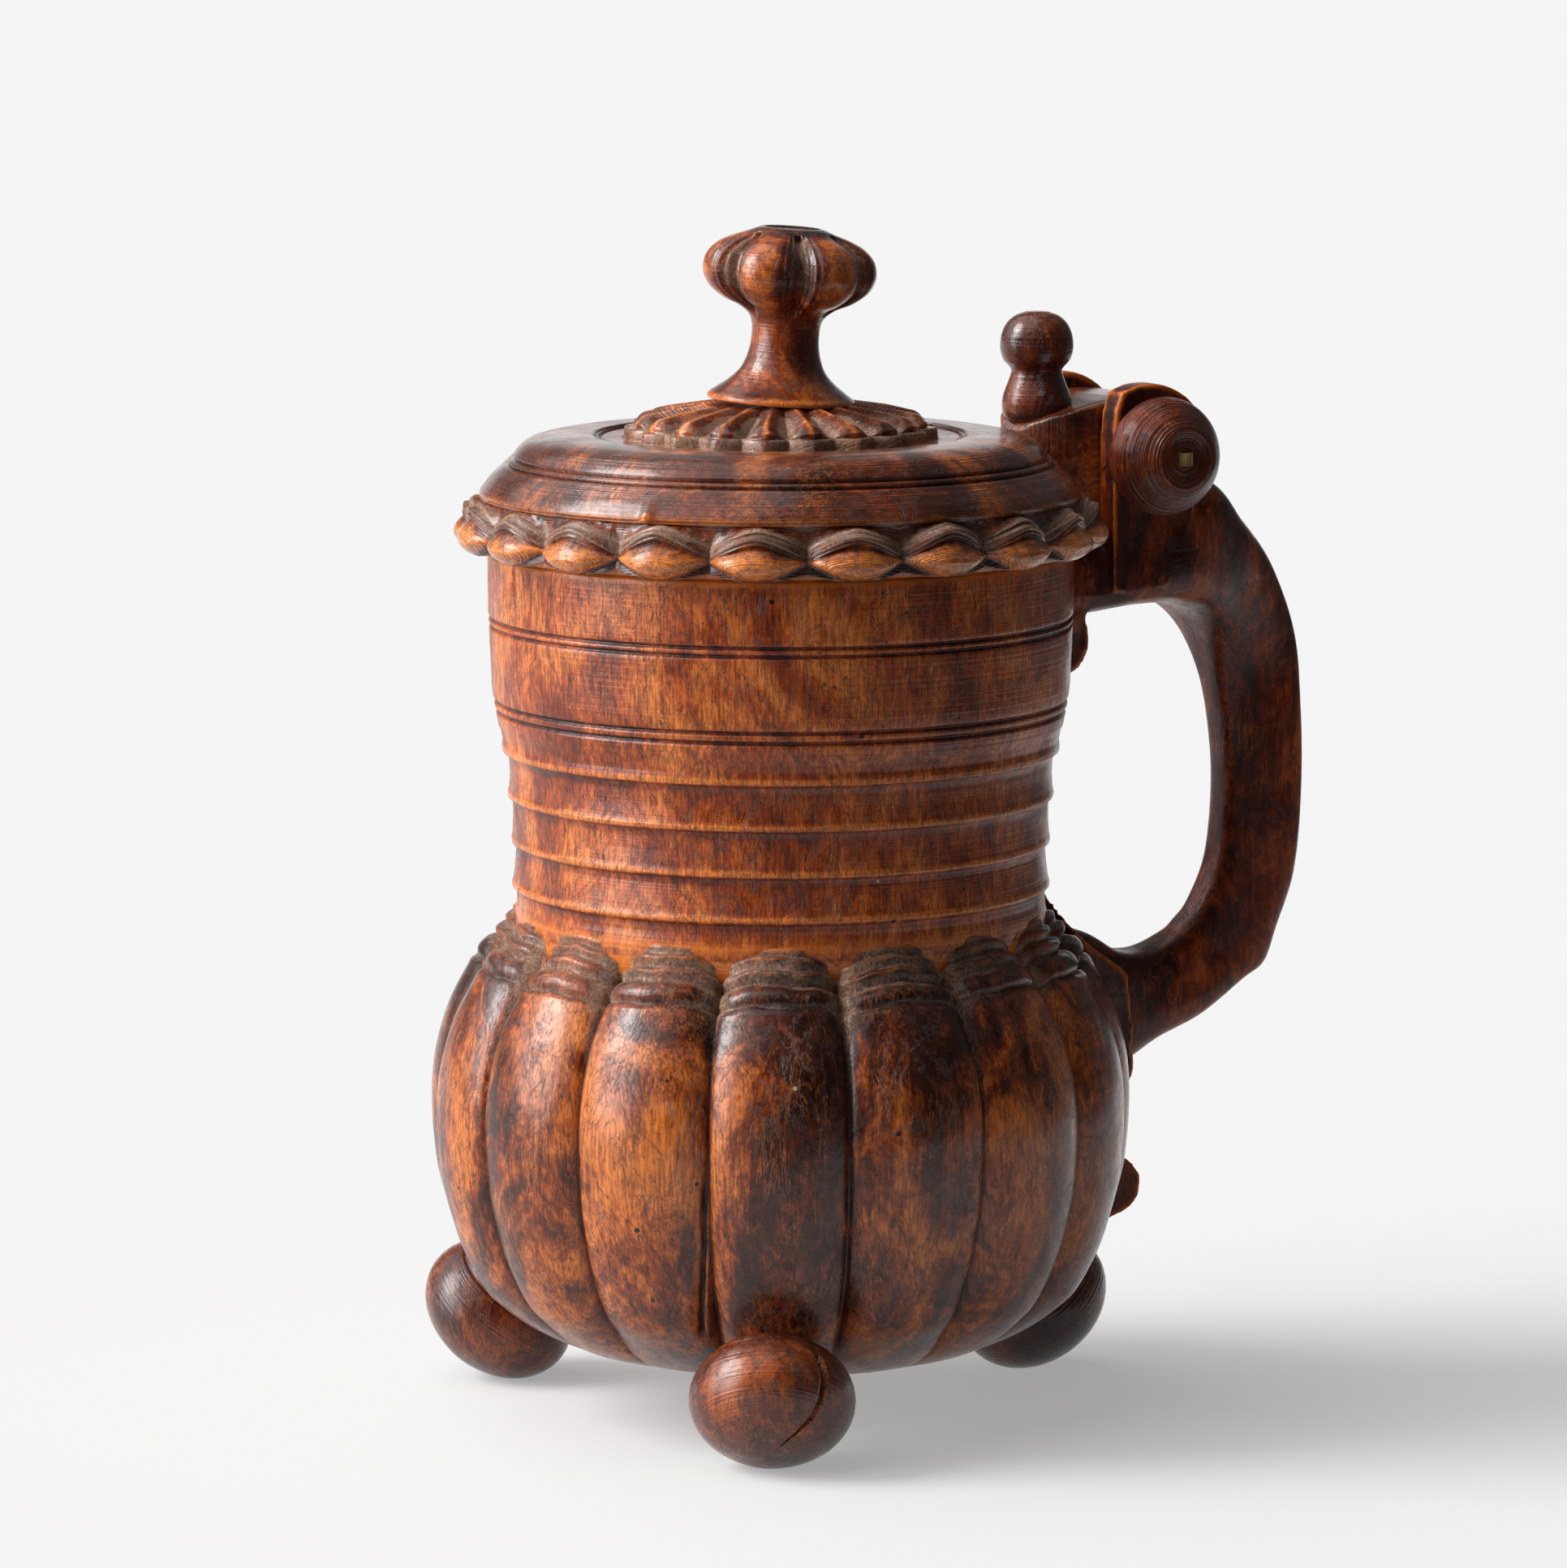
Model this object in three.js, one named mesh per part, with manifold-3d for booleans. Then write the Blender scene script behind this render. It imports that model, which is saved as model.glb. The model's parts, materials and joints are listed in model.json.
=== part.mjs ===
// A lidded drinking tankard of burr birch: lobed belly, ringed neck, three ball feet, beaded lid
// with a carved rosette and a finial, and a carved handle that holds the wooden hinge pin.
// Units are millimetres and +Z is up. The pieces are built round the turning axis (x = y = 0) with
// the table at z = 0 and the handle along +X; the last lines move the origin to the middle of the base.
import * as THREE from 'three';
import { mergeVertices } from 'three/addons/utils/BufferGeometryUtils.js';
import Module from 'manifold-3d';

const wasm = await Module();
wasm.setup();

const degrees = Math.PI / 180;
const clearance = 0.3; // gap left between pieces that bear on each other

// Ball feet: oblate turned balls whose axes lean outwards
const footBallRadius = 16.1;
const footBallHalfHeight = 12.2;
const footLean = 39 * degrees;
const footWornDepth = 0.35;
const footAngles = [5, 126, -121.5];
const footTenonRadius = 5;
const footTenonReach = 21;

// Vessel: the belly is two quarter ellipses, the neck a turned band over a row of rings
const baseHeight = 13;
const baseRadius = 34.5;
const bellyRadius = 69.8;
const footCircleRadius = bellyRadius - 7.45;
const bellyHeight = 61;
const bellyShoulderRise = 38;
const bellyShoulderCore = 47.2;
const lobeCount = 15;
const lobeDepth = 3.4;
const lobeTopDepth = 2;
const ribFoot = 89.6; // the lowest of the turned ridges that step over the tops of the lobes
const ribPitch = 6;
const ribDepth = 1;
const neckFootHeight = 101;
const neckFootRadius = 52.2;
const ringCount = 4;
const ringPitch = 9.1;
const ringDepth = 0.9;
const firstRingRise = 3.7;
const bandFootHeight = 138;
const bandFootRadius = 56.2;
const rimHeight = 171;
const rimRadius = 57.7;
const lineDepth = 0.55; // two pairs of turned lines round the band
const linePitch = 1.8;
const linePairShares = [2.5 / 33, 19.1 / 33]; // of the way from the foot of the band to the rim
const rimWall = 6.6;
const bellyWall = 8.5;
const floorThickness = 12;

// Lid: a domed disc with a beaded rim, a shallow register that drops into the mouth, and a hollow
const lidOverhang = 6.6;
const lidDomeHeight = 22.3;
const lidBeadHeight = 9.8;
const lidBeadCount = 20;
const lidBeadDepth = 5.6;
const lidBeadPhase = 1.8 * degrees;
const lidBeadStep = 0.8; // the step that runs over the upper half of each bead
const lidLineDepth = 0.5;
const lidRegisterDepth = 2.7;
const lidRegisterWall = 7;
const lidRegisterPlay = 1;
const lidHollowDepth = 12;
const rosetteRadius = 30.8;
const rosetteTierHeight = 2.2;
const rosetteTierWidth = 2.6;
const rosetteRise = 6.4;
const rosetteRidgeDepth = 2.6;

// Hinge
const hingeReach = 73.7;
const hingeRise = 16.5;
const hingeHeight = rimHeight + hingeRise;
const pinRadius = 3.5;
const armWidth = 25.7;
const armPlay = 0.5;
const armBarrelRadius = 10.9;
const armFrontReach = 51.6;
const armFrontDrop = 3.2;
const armTopSlope = 9.6 * degrees;
const armHeelLength = 12.3;
const armHeelHeight = 9.1;
const earThickness = 5.9;
const earRadius = 14;
const earFront = 8.3;
const slotFloorDrop = 14;
const slotRadius = 16;

// Knob on the front end of the pin, the small square peg in it, and the head at the pin's rear end
const knobRadius = 11.8;
const knobLength = 13.3;
const pinHeadRadius = 7.6;
const pinHeadLength = 5.8;
const knobBoreDepth = 8.3;
const pegSide = 2.6;
const pegLength = 9.6;
const pegHoleRadius = 2.2;

// Finial and thumbpiece
const finialHeight = 34.2;
const finialBaseRadius = 14.8;
const finialStemRadius = 6.7;
const finialHeadRadius = 17.3;
const finialLobeCount = 6;
const finialLean = 4 * degrees;
const finialLeanAngle = -30 * degrees;
const finialLobePhase = -21.5 * degrees;
const finialTenonRadius = 5;
const finialTenonLength = 15;
const thumbReach = 59;
const thumbBallRadius = 7.3;
const thumbBulgeRadius = 6.8;
const thumbNeckRadius = 5.4;
const thumbHeight = 21;
const thumbTenonRadius = 2.6;
const thumbTenonLength = 9;

// Handle
const handleReach = 121.8;
const gripWidth = 10;
const headWidth = armWidth + 2 * (armPlay + earThickness);
const ledgeDrop = 0.6;
const upperPlateWidth = 33;
const upperPlateThickness = 4.8;
const upperPlateFoot = 138;
const lowerPlateWidth = 29;
const lowerPlateThickness = 6.8;
const lowerPlateTip = 108.5;
const lowerPlateFoot = 29.5;
const handlePegRadius = 2.5;

const material = (color, roughness) => new THREE.MeshStandardMaterial({ color, roughness, metalness: 0 });
const vesselWood = material('#8a4a22', 0.42);
const handleWood = material('#5f2c16', 0.4);
const lidWood = material('#7a3f1f', 0.42);
const turnedWood = material('#6a3019', 0.36);
const paleWood = material('#a8834f', 0.6);

// A closed mesh as a solid that can be cut and joined; triangles that collapse at a pole go.
function toSolid(geometry) {
  const plain = geometry.clone();
  plain.deleteAttribute('normal');
  plain.deleteAttribute('uv');
  const merged = mergeVertices(plain, 1e-4);
  const corners = [];
  for (let i = 0; i < merged.index.count; i += 3) {
    const [a, b, c] = merged.index.array.slice(i, i + 3);
    if (a !== b && b !== c && c !== a) corners.push(a, b, c);
  }
  return new wasm.Manifold(new wasm.Mesh({
    numProp: 3,
    vertProperties: new Float32Array(merged.attributes.position.array),
    triVerts: new Uint32Array(corners),
  }));
}

function toMesh(name, solid, surface) {
  const cut = solid.getMesh();
  const geometry = new THREE.BufferGeometry();
  geometry.setAttribute('position', new THREE.BufferAttribute(cut.vertProperties, 3));
  geometry.setIndex(new THREE.BufferAttribute(cut.triVerts, 1));
  geometry.computeVertexNormals();
  const mesh = new THREE.Mesh(geometry, surface);
  mesh.name = name;
  return mesh;
}

// A turned solid: the profile of [radius, height] pairs runs from the lower end of the axis to the
// upper end. The carve function may move each point, given its radius, height and angle.
function turned(profile, columns, { phase = 0, carve = null } = {}) {
  const outline = profile.map(([radius, height]) => new THREE.Vector2(radius, height));
  const geometry = new THREE.LatheGeometry(outline, columns);
  geometry.rotateX(Math.PI / 2);
  geometry.rotateZ(Math.PI / 2 + phase);
  if (carve) {
    const position = geometry.attributes.position;
    for (let i = 0; i < position.count; i += 1) {
      const x = position.getX(i);
      const y = position.getY(i);
      const [radius, height] = carve(Math.hypot(x, y), position.getZ(i), Math.atan2(y, x));
      const angle = Math.atan2(y, x);
      position.setXYZ(i, radius * Math.cos(angle), radius * Math.sin(angle), height);
    }
  }
  return toSolid(geometry);
}

// A slab whose outline is drawn in X and Z, centred on y = 0
function sideSlab(shape, width, curveSegments = 5) {
  const geometry = new THREE.ExtrudeGeometry(shape, { depth: width, bevelEnabled: false, curveSegments });
  geometry.rotateX(Math.PI / 2);
  geometry.translate(0, width / 2, 0);
  return toSolid(geometry);
}

// A slab whose outline is drawn in Y and Z, from x = from to x = to
function frontSlab(shape, from, to, curveSegments = 4) {
  const depth = to - from;
  const geometry = new THREE.ExtrudeGeometry(shape, { depth, bevelEnabled: false, curveSegments });
  geometry.rotateX(Math.PI / 2);
  geometry.rotateZ(Math.PI / 2);
  geometry.translate(from, 0, 0);
  return toSolid(geometry);
}

// A slab whose outline is drawn in X and Y, from z = from to z = to
function planSlab(shape, from, to, curveSegments = 10) {
  const depth = to - from;
  const geometry = new THREE.ExtrudeGeometry(shape, { depth, bevelEnabled: false, curveSegments });
  geometry.translate(0, 0, from);
  return toSolid(geometry);
}

function outlineShape(points) {
  return new THREE.Shape(points.map(([a, b]) => new THREE.Vector2(a, b)));
}

function rodAlongY(radius, from, to, segments = 20) {
  const geometry = new THREE.CylinderGeometry(radius, radius, to - from, segments);
  geometry.translate(0, (from + to) / 2, 0);
  return geometry;
}

function rodAlongX(radius, from, to, segments = 12) {
  const geometry = new THREE.CylinderGeometry(radius, radius, to - from, segments);
  geometry.rotateZ(Math.PI / 2);
  geometry.translate((from + to) / 2, 0, 0);
  return geometry;
}

function rodAlongZ(radius, from, to, segments = 20) {
  const geometry = new THREE.CylinderGeometry(radius, radius, to - from, segments);
  geometry.rotateX(Math.PI / 2);
  geometry.translate(0, 0, (from + to) / 2);
  return geometry;
}

const smoothStep = THREE.MathUtils.smoothstep;

// How far an angle lies from the crown of its lobe: 0 on the crown, 1 in the groove
function fromCrown(angle, count, phase = 0) {
  const turns = ((angle - phase) * count) / (2 * Math.PI);
  return Math.abs(turns - Math.round(turns)) * 2;
}

// Vessel outline. The grown copy of it is the space that the handle and feet are scribed to.
const neckRidgeRadius = (height) => {
  const first = neckFootHeight + firstRingRise;
  const along = (height - first) / (bandFootHeight - first);
  return THREE.MathUtils.lerp(neckFootRadius + 0.9, bandFootRadius - 0.8, along);
};

// The band above the rings swells fast at first, then runs nearly straight to the rim.
const bandRadius = (height) => {
  const along = (height - bandFootHeight) / (rimHeight - bandFootHeight);
  return THREE.MathUtils.lerp(bandFootRadius, rimRadius, Math.min(along, 1) ** 0.35);
};

function bellyCrown(height) {
  const low = height < bellyHeight;
  const span = low ? bellyHeight - baseHeight : bellyShoulderRise;
  const core = low ? baseRadius : bellyShoulderCore;
  const along = Math.min(Math.abs(height - bellyHeight) / span, 1);
  return core + (bellyRadius - core) * Math.sqrt(1 - along * along);
}

function bellyProfile(grow) {
  const profile = [[0, baseHeight - grow], [baseRadius - 2, baseHeight - grow]];
  const lowRows = 5;
  for (let i = 0; i < lowRows; i += 1) {
    const turn = (Math.PI / 2) * (0.06 + (0.94 * i) / lowRows);
    const height = bellyHeight - (bellyHeight - baseHeight) * Math.cos(turn);
    profile.push([bellyCrown(height) + grow, height]);
  }
  profile.push([bellyRadius + grow, bellyHeight]);
  for (const turn of [17, 33]) {
    const height = bellyHeight + bellyShoulderRise * Math.sin(turn * degrees);
    profile.push([bellyCrown(height) + grow, height]);
  }
  // Two coves between three ridges, each cut in at right angles to the slope of the shoulder
  for (const [step, depth] of [[0, 0], [0.3, ribDepth], [0.75, ribDepth], [1, 0]]) {
    const height = ribFoot + step * ribPitch;
    profile.push([bellyCrown(height) - 0.8 * depth + grow, height - 0.6 * depth]);
  }
  const top = neckFootHeight - 0.4 + grow;
  profile.push([neckFootRadius + 2.9 + grow, neckFootHeight - 4.2]);
  profile.push([neckFootRadius + 1.5 + grow, neckFootHeight - 2.2]);
  profile.push([neckFootRadius + 1.4 + grow, neckFootHeight - 1.1 + grow]);
  profile.push([neckFootRadius - 2.4 + grow, top], [0, top]);
  return profile;
}

function neckProfile(grow) {
  const profile = [[0, neckFootHeight - 14], [neckFootRadius + grow, neckFootHeight - 14]];
  profile.push([neckFootRadius + grow, neckFootHeight]);
  // Each cove falls slowly from its ridge and is deepest right under the next one
  for (let ring = 0; ring < ringCount; ring += 1) {
    const height = neckFootHeight + firstRingRise + ring * ringPitch;
    profile.push([neckRidgeRadius(height) + grow, height]);
    if (ring < ringCount - 1) {
      for (const [share, depth] of [[0.45, 0.8], [0.84, 1.2]]) {
        const along = height + share * ringPitch;
        profile.push([neckRidgeRadius(along) - depth * ringDepth + grow, along]);
      }
    }
  }
  profile.push([bandFootRadius - 1.3 + grow, bandFootHeight - 3.4]);
  profile.push([bandFootRadius + grow, bandFootHeight]);
  for (const share of linePairShares) {
    const middle = bandFootHeight + (rimHeight - bandFootHeight) * share;
    const radius = bandRadius(middle) + grow;
    profile.push([radius, middle - linePitch]);
    profile.push([radius - lineDepth, middle - linePitch / 2]);
    profile.push([radius, middle]);
    profile.push([radius - lineDepth, middle + linePitch / 2]);
    profile.push([radius + 0.05, middle + linePitch]);
  }
  profile.push([rimRadius + grow, rimHeight + grow], [0, rimHeight + grow]);
  return profile;
}

// Lobes fade out at the base, and are cut in deeper where they meet the neck.
function carveLobes(radius, height, angle) {
  if (radius < baseRadius - 1) return [radius, height];
  const away = fromCrown(angle, lobeCount);
  const round = 1 - Math.sqrt(1 - Math.min(away, 0.97) ** 2.4);
  const fade = smoothStep(height, baseHeight - 2, baseHeight + 11);
  const deepen = smoothStep(height, neckFootHeight - 16, neckFootHeight - 4);
  const depth = (lobeDepth + lobeTopDepth * deepen) * fade * round;
  const room = Math.max(radius - neckFootRadius + 6, 0) + depth * (1 - deepen);
  return [radius - Math.min(depth, room), height - 0.6 * deepen * Math.min(depth, room)];
}

const bellyColumns = lobeCount * 4;
const neckColumns = 40;

function vesselOutside(grow) {
  const belly = turned(bellyProfile(grow), bellyColumns, { carve: carveLobes });
  return belly.add(turned(neckProfile(grow), neckColumns));
}

const vesselSpace = vesselOutside(clearance);

const mouthRadius = rimRadius - rimWall;
const floorHeight = baseHeight + floorThickness;
const cavityRadius = bellyRadius - lobeDepth - bellyWall;
const throatRadius = neckFootRadius - ringDepth - rimWall + 1.5;
const vesselCavity = turned([
  [0, floorHeight],
  [cavityRadius * 0.5, floorHeight + 1.5],
  [cavityRadius * 0.76, floorHeight + 10],
  [cavityRadius * 0.95, floorHeight + 24],
  [cavityRadius, bellyHeight],
  [cavityRadius * 0.95, bellyHeight + bellyShoulderRise * 0.45],
  [throatRadius + 2.5, neckFootHeight - 9],
  [throatRadius, neckFootHeight],
  [mouthRadius - 0.4, bandFootHeight + 7],
  [mouthRadius, rimHeight + 2],
  [0, rimHeight + 2],
], 28);

// Ball feet. Each is scribed to the belly, and its tenon fills a blind hole bored on its own axis.
const footCentreHeight = Math.hypot(
  footBallRadius * Math.sin(footLean),
  footBallHalfHeight * Math.cos(footLean),
) - footWornDepth;

function placeFoot(geometry, angle) {
  geometry.rotateY(-footLean);
  geometry.translate(footCircleRadius, 0, footCentreHeight);
  geometry.rotateZ(angle * degrees);
  return geometry;
}

function footBall(angle) {
  const outline = [];
  const rows = 9;
  for (let row = 0; row <= rows; row += 1) {
    const turn = -Math.PI / 2 + (Math.PI * row) / rows;
    const radius = row === 0 || row === rows ? 0 : footBallRadius * Math.cos(turn);
    outline.push(new THREE.Vector2(radius, footBallHalfHeight * Math.sin(turn)));
  }
  const geometry = new THREE.LatheGeometry(outline, 16);
  geometry.rotateX(Math.PI / 2);
  return toSolid(placeFoot(geometry, angle));
}

const table = new THREE.BoxGeometry(400, 400, 20);
table.translate(0, 0, -10);
const tableSolid = toSolid(table);

const footSockets = [];
const feet = footAngles.map((angle) => {
  const tenon = rodAlongZ(footTenonRadius, 0, footTenonReach, 12);
  const socket = rodAlongZ(footTenonRadius + clearance, 0, footTenonReach + clearance, 12);
  footSockets.push(toSolid(placeFoot(socket, angle)));
  return footBall(angle).subtract(vesselSpace).add(toSolid(placeFoot(tenon, angle))).subtract(tableSolid);
});

// Handle pegs, driven along X through the back plates into the wall
const handlePegs = [
  {
    height: THREE.MathUtils.lerp(upperPlateFoot, rimHeight, 0.35),
    outer: rimRadius + upperPlateThickness + 0.1,
    length: 3.6 * handlePegRadius,
  },
  {
    height: lowerPlateTip - 3 * handlePegRadius,
    outer: neckFootRadius + 0.65 * lowerPlateThickness,
    length: 3.36 * handlePegRadius,
  },
  {
    height: lowerPlateFoot + 3.4 * handlePegRadius,
    outer: bellyRadius + lowerPlateThickness + 0.2,
    length: 7.6 * handlePegRadius,
  },
];
const handlePegHoles = handlePegs.map(({ height, outer, length }) => {
  const hole = rodAlongX(handlePegRadius + clearance, outer - length - clearance, outer + 12);
  hole.translate(0, 0, height);
  return toSolid(hole);
});

const vesselSolid = [...footSockets, ...handlePegHoles].reduce(
  (solid, tool) => solid.subtract(tool),
  vesselOutside(0).subtract(vesselCavity),
);

// Grip of the handle: sections between an inner and an outer edge line, each with its own width.
// A point is given by its share of the reach from the rim to the back of the grip, and by its
// share of the height from the middle of the belly to the rim.
const onHandle = (reach, rise) => new THREE.Vector3(
  THREE.MathUtils.lerp(rimRadius, handleReach, reach),
  0,
  THREE.MathUtils.lerp(bellyHeight, rimHeight, rise),
);
const gripStations = [
  { inner: [-0.09, 0.85], outer: [-0.09, 0.995], width: headWidth * 0.87 },
  { inner: [0.067, 0.855], outer: [0.083, 0.995], width: headWidth * 0.92 },
  { inner: [0.24, 0.865], outer: [0.3, 1.027], width: headWidth },
  { inner: [0.41, 0.864], outer: [0.523, 1.095], width: headWidth * 0.96 },
  { inner: [0.53, 0.847], outer: [0.682, 1.018], width: headWidth * 0.77 },
  { inner: [0.604, 0.8], outer: [0.838, 0.924], width: gripWidth * 2 },
  { inner: [0.66, 0.709], outer: [0.956, 0.789], width: gripWidth * 1.2 },
  { inner: [0.694, 0.597], outer: [0.997, 0.641], width: gripWidth },
  { inner: [0.702, 0.49], outer: [1, 0.482], width: gripWidth },
  { inner: [0.679, 0.373], outer: [0.97, 0.341], width: gripWidth },
  { inner: [0.616, 0.293], outer: [0.903, 0.239], width: gripWidth * 1.05 },
  { inner: [0.566, 0.262], outer: [0.856, 0.172], width: gripWidth * 1.1 },
  { inner: [0.52, 0.24], outer: [0.777, 0.144], width: gripWidth * 1.15 },
  { inner: [0.402, 0.215], outer: [0.605, 0.085], width: gripWidth * 1.4 },
  { inner: [0.285, 0.224], outer: [0.434, 0.05], width: gripWidth * 1.7 },
  { inner: [0.161, 0.264], outer: [0.285, 0.009], width: gripWidth * 1.9 },
  { inner: [0.005, 0.282], outer: [0.098, -0.009], width: gripWidth * 1.9 },
];

// Rings of points joined into one closed skin, with a fan on each end
function loft(rings) {
  const perRing = rings[0].length;
  const position = rings.flat().flatMap((point) => point.toArray());
  const index = [];
  for (let row = 0; row < rings.length - 1; row += 1) {
    for (let i = 0; i < perRing; i += 1) {
      const a = row * perRing + i;
      const b = row * perRing + ((i + 1) % perRing);
      index.push(a, b, a + perRing, b, b + perRing, a + perRing);
    }
  }
  for (const row of [0, rings.length - 1]) {
    const first = row * perRing;
    for (let i = 1; i < perRing - 1; i += 1) {
      if (row === 0) index.push(first, first + i + 1, first + i);
      else index.push(first, first + i, first + i + 1);
    }
  }
  const geometry = new THREE.BufferGeometry();
  geometry.setAttribute('position', new THREE.Float32BufferAttribute(position, 3));
  geometry.setIndex(index);
  return toSolid(geometry);
}

function gripSolid(rows = 27, perRing = 12) {
  const spline = (pick) => new THREE.CatmullRomCurve3(gripStations.map(pick), false, 'centripetal');
  const innerEdge = spline(({ inner }) => onHandle(...inner));
  const outerEdge = spline(({ outer }) => onHandle(...outer));
  const widths = spline(({ width }, i) => new THREE.Vector3(i, 0, width));
  const rings = [];
  for (let row = 0; row <= rows; row += 1) {
    const along = row / rows;
    const inner = innerEdge.getPoint(along);
    const outer = outerEdge.getPoint(along);
    const width = widths.getPoint(along).z;
    const ring = [];
    for (let i = 0; i < perRing; i += 1) {
      const turn = ((i + 0.5) / perRing) * 2 * Math.PI;
      const across = Math.sign(Math.cos(turn)) * Math.abs(Math.cos(turn)) ** 0.55;
      const side = Math.sign(Math.sin(turn)) * Math.abs(Math.sin(turn)) ** 0.55;
      const point = inner.clone().lerp(outer, 0.5 + across / 2);
      point.y = (-side * width) / 2;
      ring.push(point);
    }
    rings.push(ring);
  }
  return loft(rings);
}

// Ears: flat in front, round about the hinge pin, running down into the head of the handle
function earSlab() {
  const shape = new THREE.Shape();
  const front = hingeReach - earFront;
  const roundFrom = 105 * degrees;
  shape.moveTo(front, rimHeight - ledgeDrop - 6);
  shape.lineTo(front, hingeHeight + 4.5);
  shape.quadraticCurveTo(
    front + 0.2,
    hingeHeight + earRadius - 2,
    hingeReach + earRadius * Math.cos(roundFrom),
    hingeHeight + earRadius * Math.sin(roundFrom),
  );
  shape.absarc(hingeReach, hingeHeight, earRadius, roundFrom, -30 * degrees, true);
  shape.quadraticCurveTo(hingeReach + 11, hingeHeight - 18, hingeReach + 4, hingeHeight - 27);
  return sideSlab(shape, headWidth, 14);
}

// The fork between the ears, deep enough for the arm to swing and flat where its heel lands
function forkSpace() {
  const width = armWidth + 2 * armPlay;
  const drum = rodAlongY(slotRadius, -width / 2, width / 2, 40);
  const round = toSolid(drum.translate(hingeReach, 0, hingeHeight));
  const floor = hingeHeight - slotFloorDrop;
  const front = hingeReach - earFront - 2;
  const above = sideSlab(outlineShape([
    [front, floor],
    [hingeReach + 60, floor],
    [hingeReach + 60, hingeHeight + 40],
    [front, hingeHeight + 40],
  ]), width);
  const passage = sideSlab(outlineShape([
    [front, floor],
    [hingeReach, floor],
    [hingeReach + slotRadius, hingeHeight],
    [hingeReach + slotRadius + 20, hingeHeight + 6],
    [hingeReach + slotRadius + 20, hingeHeight + 40],
    [front, hingeHeight + 40],
  ]), width);
  return round.intersect(above).add(passage);
}

function upperPlate() {
  const face = rimRadius + upperPlateThickness;
  const side = new THREE.Shape();
  side.moveTo(rimRadius - 14, upperPlateFoot);
  side.lineTo(rimRadius - 1, upperPlateFoot);
  side.quadraticCurveTo(rimRadius + 1.8, upperPlateFoot + 1, rimRadius + 1.4, upperPlateFoot + 3.4);
  side.lineTo(rimRadius + 0.8, upperPlateFoot + 5.4);
  side.quadraticCurveTo(face + 0.2, upperPlateFoot + 7, face + 0.4, upperPlateFoot + 12.4);
  side.lineTo(face, upperPlateFoot + 18);
  side.lineTo(face, rimHeight - ledgeDrop);
  side.lineTo(rimRadius - 14, rimHeight - ledgeDrop);
  const half = upperPlateWidth / 2;
  const front = new THREE.Shape();
  front.moveTo(-half + 4, upperPlateFoot - 1);
  front.lineTo(half - 4, upperPlateFoot - 1);
  front.quadraticCurveTo(half - 1.5, upperPlateFoot + 2, half - 1.5, upperPlateFoot + 5);
  front.quadraticCurveTo(half, upperPlateFoot + 9, half, upperPlateFoot + 13);
  front.lineTo(half, rimHeight);
  front.lineTo(-half, rimHeight);
  front.lineTo(-half, upperPlateFoot + 13);
  front.quadraticCurveTo(-half, upperPlateFoot + 9, -half + 1.5, upperPlateFoot + 5);
  front.quadraticCurveTo(-half + 1.5, upperPlateFoot + 2, -half + 4, upperPlateFoot - 1);
  return sideSlab(side, upperPlateWidth + 4).intersect(frontSlab(front, 0, rimRadius + 20));
}

function lowerPlate() {
  const side = new THREE.Shape();
  side.moveTo(neckFootRadius - 10, lowerPlateFoot);
  side.lineTo(bellyRadius - 3, lowerPlateFoot);
  const back = bellyRadius + lowerPlateThickness;
  side.quadraticCurveTo(back - 1.8, lowerPlateFoot + 1, back, lowerPlateFoot + 7);
  side.quadraticCurveTo(back + 0.8, lowerPlateFoot + 11.5, back - 3.2, lowerPlateFoot + 15.5);
  side.quadraticCurveTo(back - 4.2, lowerPlateFoot + 21, back - 1.8, lowerPlateFoot + 32);
  side.lineTo(bellyRadius + 3, lowerPlateTip - 26);
  const neck = neckFootRadius;
  side.quadraticCurveTo(neck + 12.4, lowerPlateTip - 19, neck + 9.2, lowerPlateTip - 14);
  side.quadraticCurveTo(neck + 4.4, lowerPlateTip - 8, neck + 1.8, lowerPlateTip);
  side.lineTo(neck - 10, lowerPlateTip);
  const half = lowerPlateWidth / 2;
  const front = new THREE.Shape();
  front.moveTo(0, lowerPlateFoot);
  front.quadraticCurveTo(half, lowerPlateFoot, half, lowerPlateFoot + 9);
  front.quadraticCurveTo(half, lowerPlateFoot + 15, half - 4, lowerPlateFoot + 20);
  front.quadraticCurveTo(half - 2, lowerPlateFoot + 30, half, lowerPlateFoot + 40);
  front.quadraticCurveTo(half, lowerPlateTip - 16, 2, lowerPlateTip);
  front.lineTo(-2, lowerPlateTip);
  front.quadraticCurveTo(-half, lowerPlateTip - 16, -half, lowerPlateFoot + 40);
  front.quadraticCurveTo(-half + 2, lowerPlateFoot + 30, -half + 4, lowerPlateFoot + 20);
  front.quadraticCurveTo(-half, lowerPlateFoot + 15, -half, lowerPlateFoot + 9);
  front.quadraticCurveTo(-half, lowerPlateFoot, 0, lowerPlateFoot);
  return sideSlab(side, lowerPlateWidth + 4).intersect(frontSlab(front, 0, bellyRadius + 30));
}

const pinBore = toSolid(
  rodAlongY(pinRadius + clearance, -headWidth, headWidth).translate(hingeReach, 0, hingeHeight),
);
const handleSolid = handlePegHoles.reduce(
  (solid, hole) => solid.subtract(hole),
  gripSolid().add(earSlab()).add(upperPlate()).add(lowerPlate())
    .subtract(forkSpace()).subtract(vesselSpace).subtract(pinBore),
);

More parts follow.
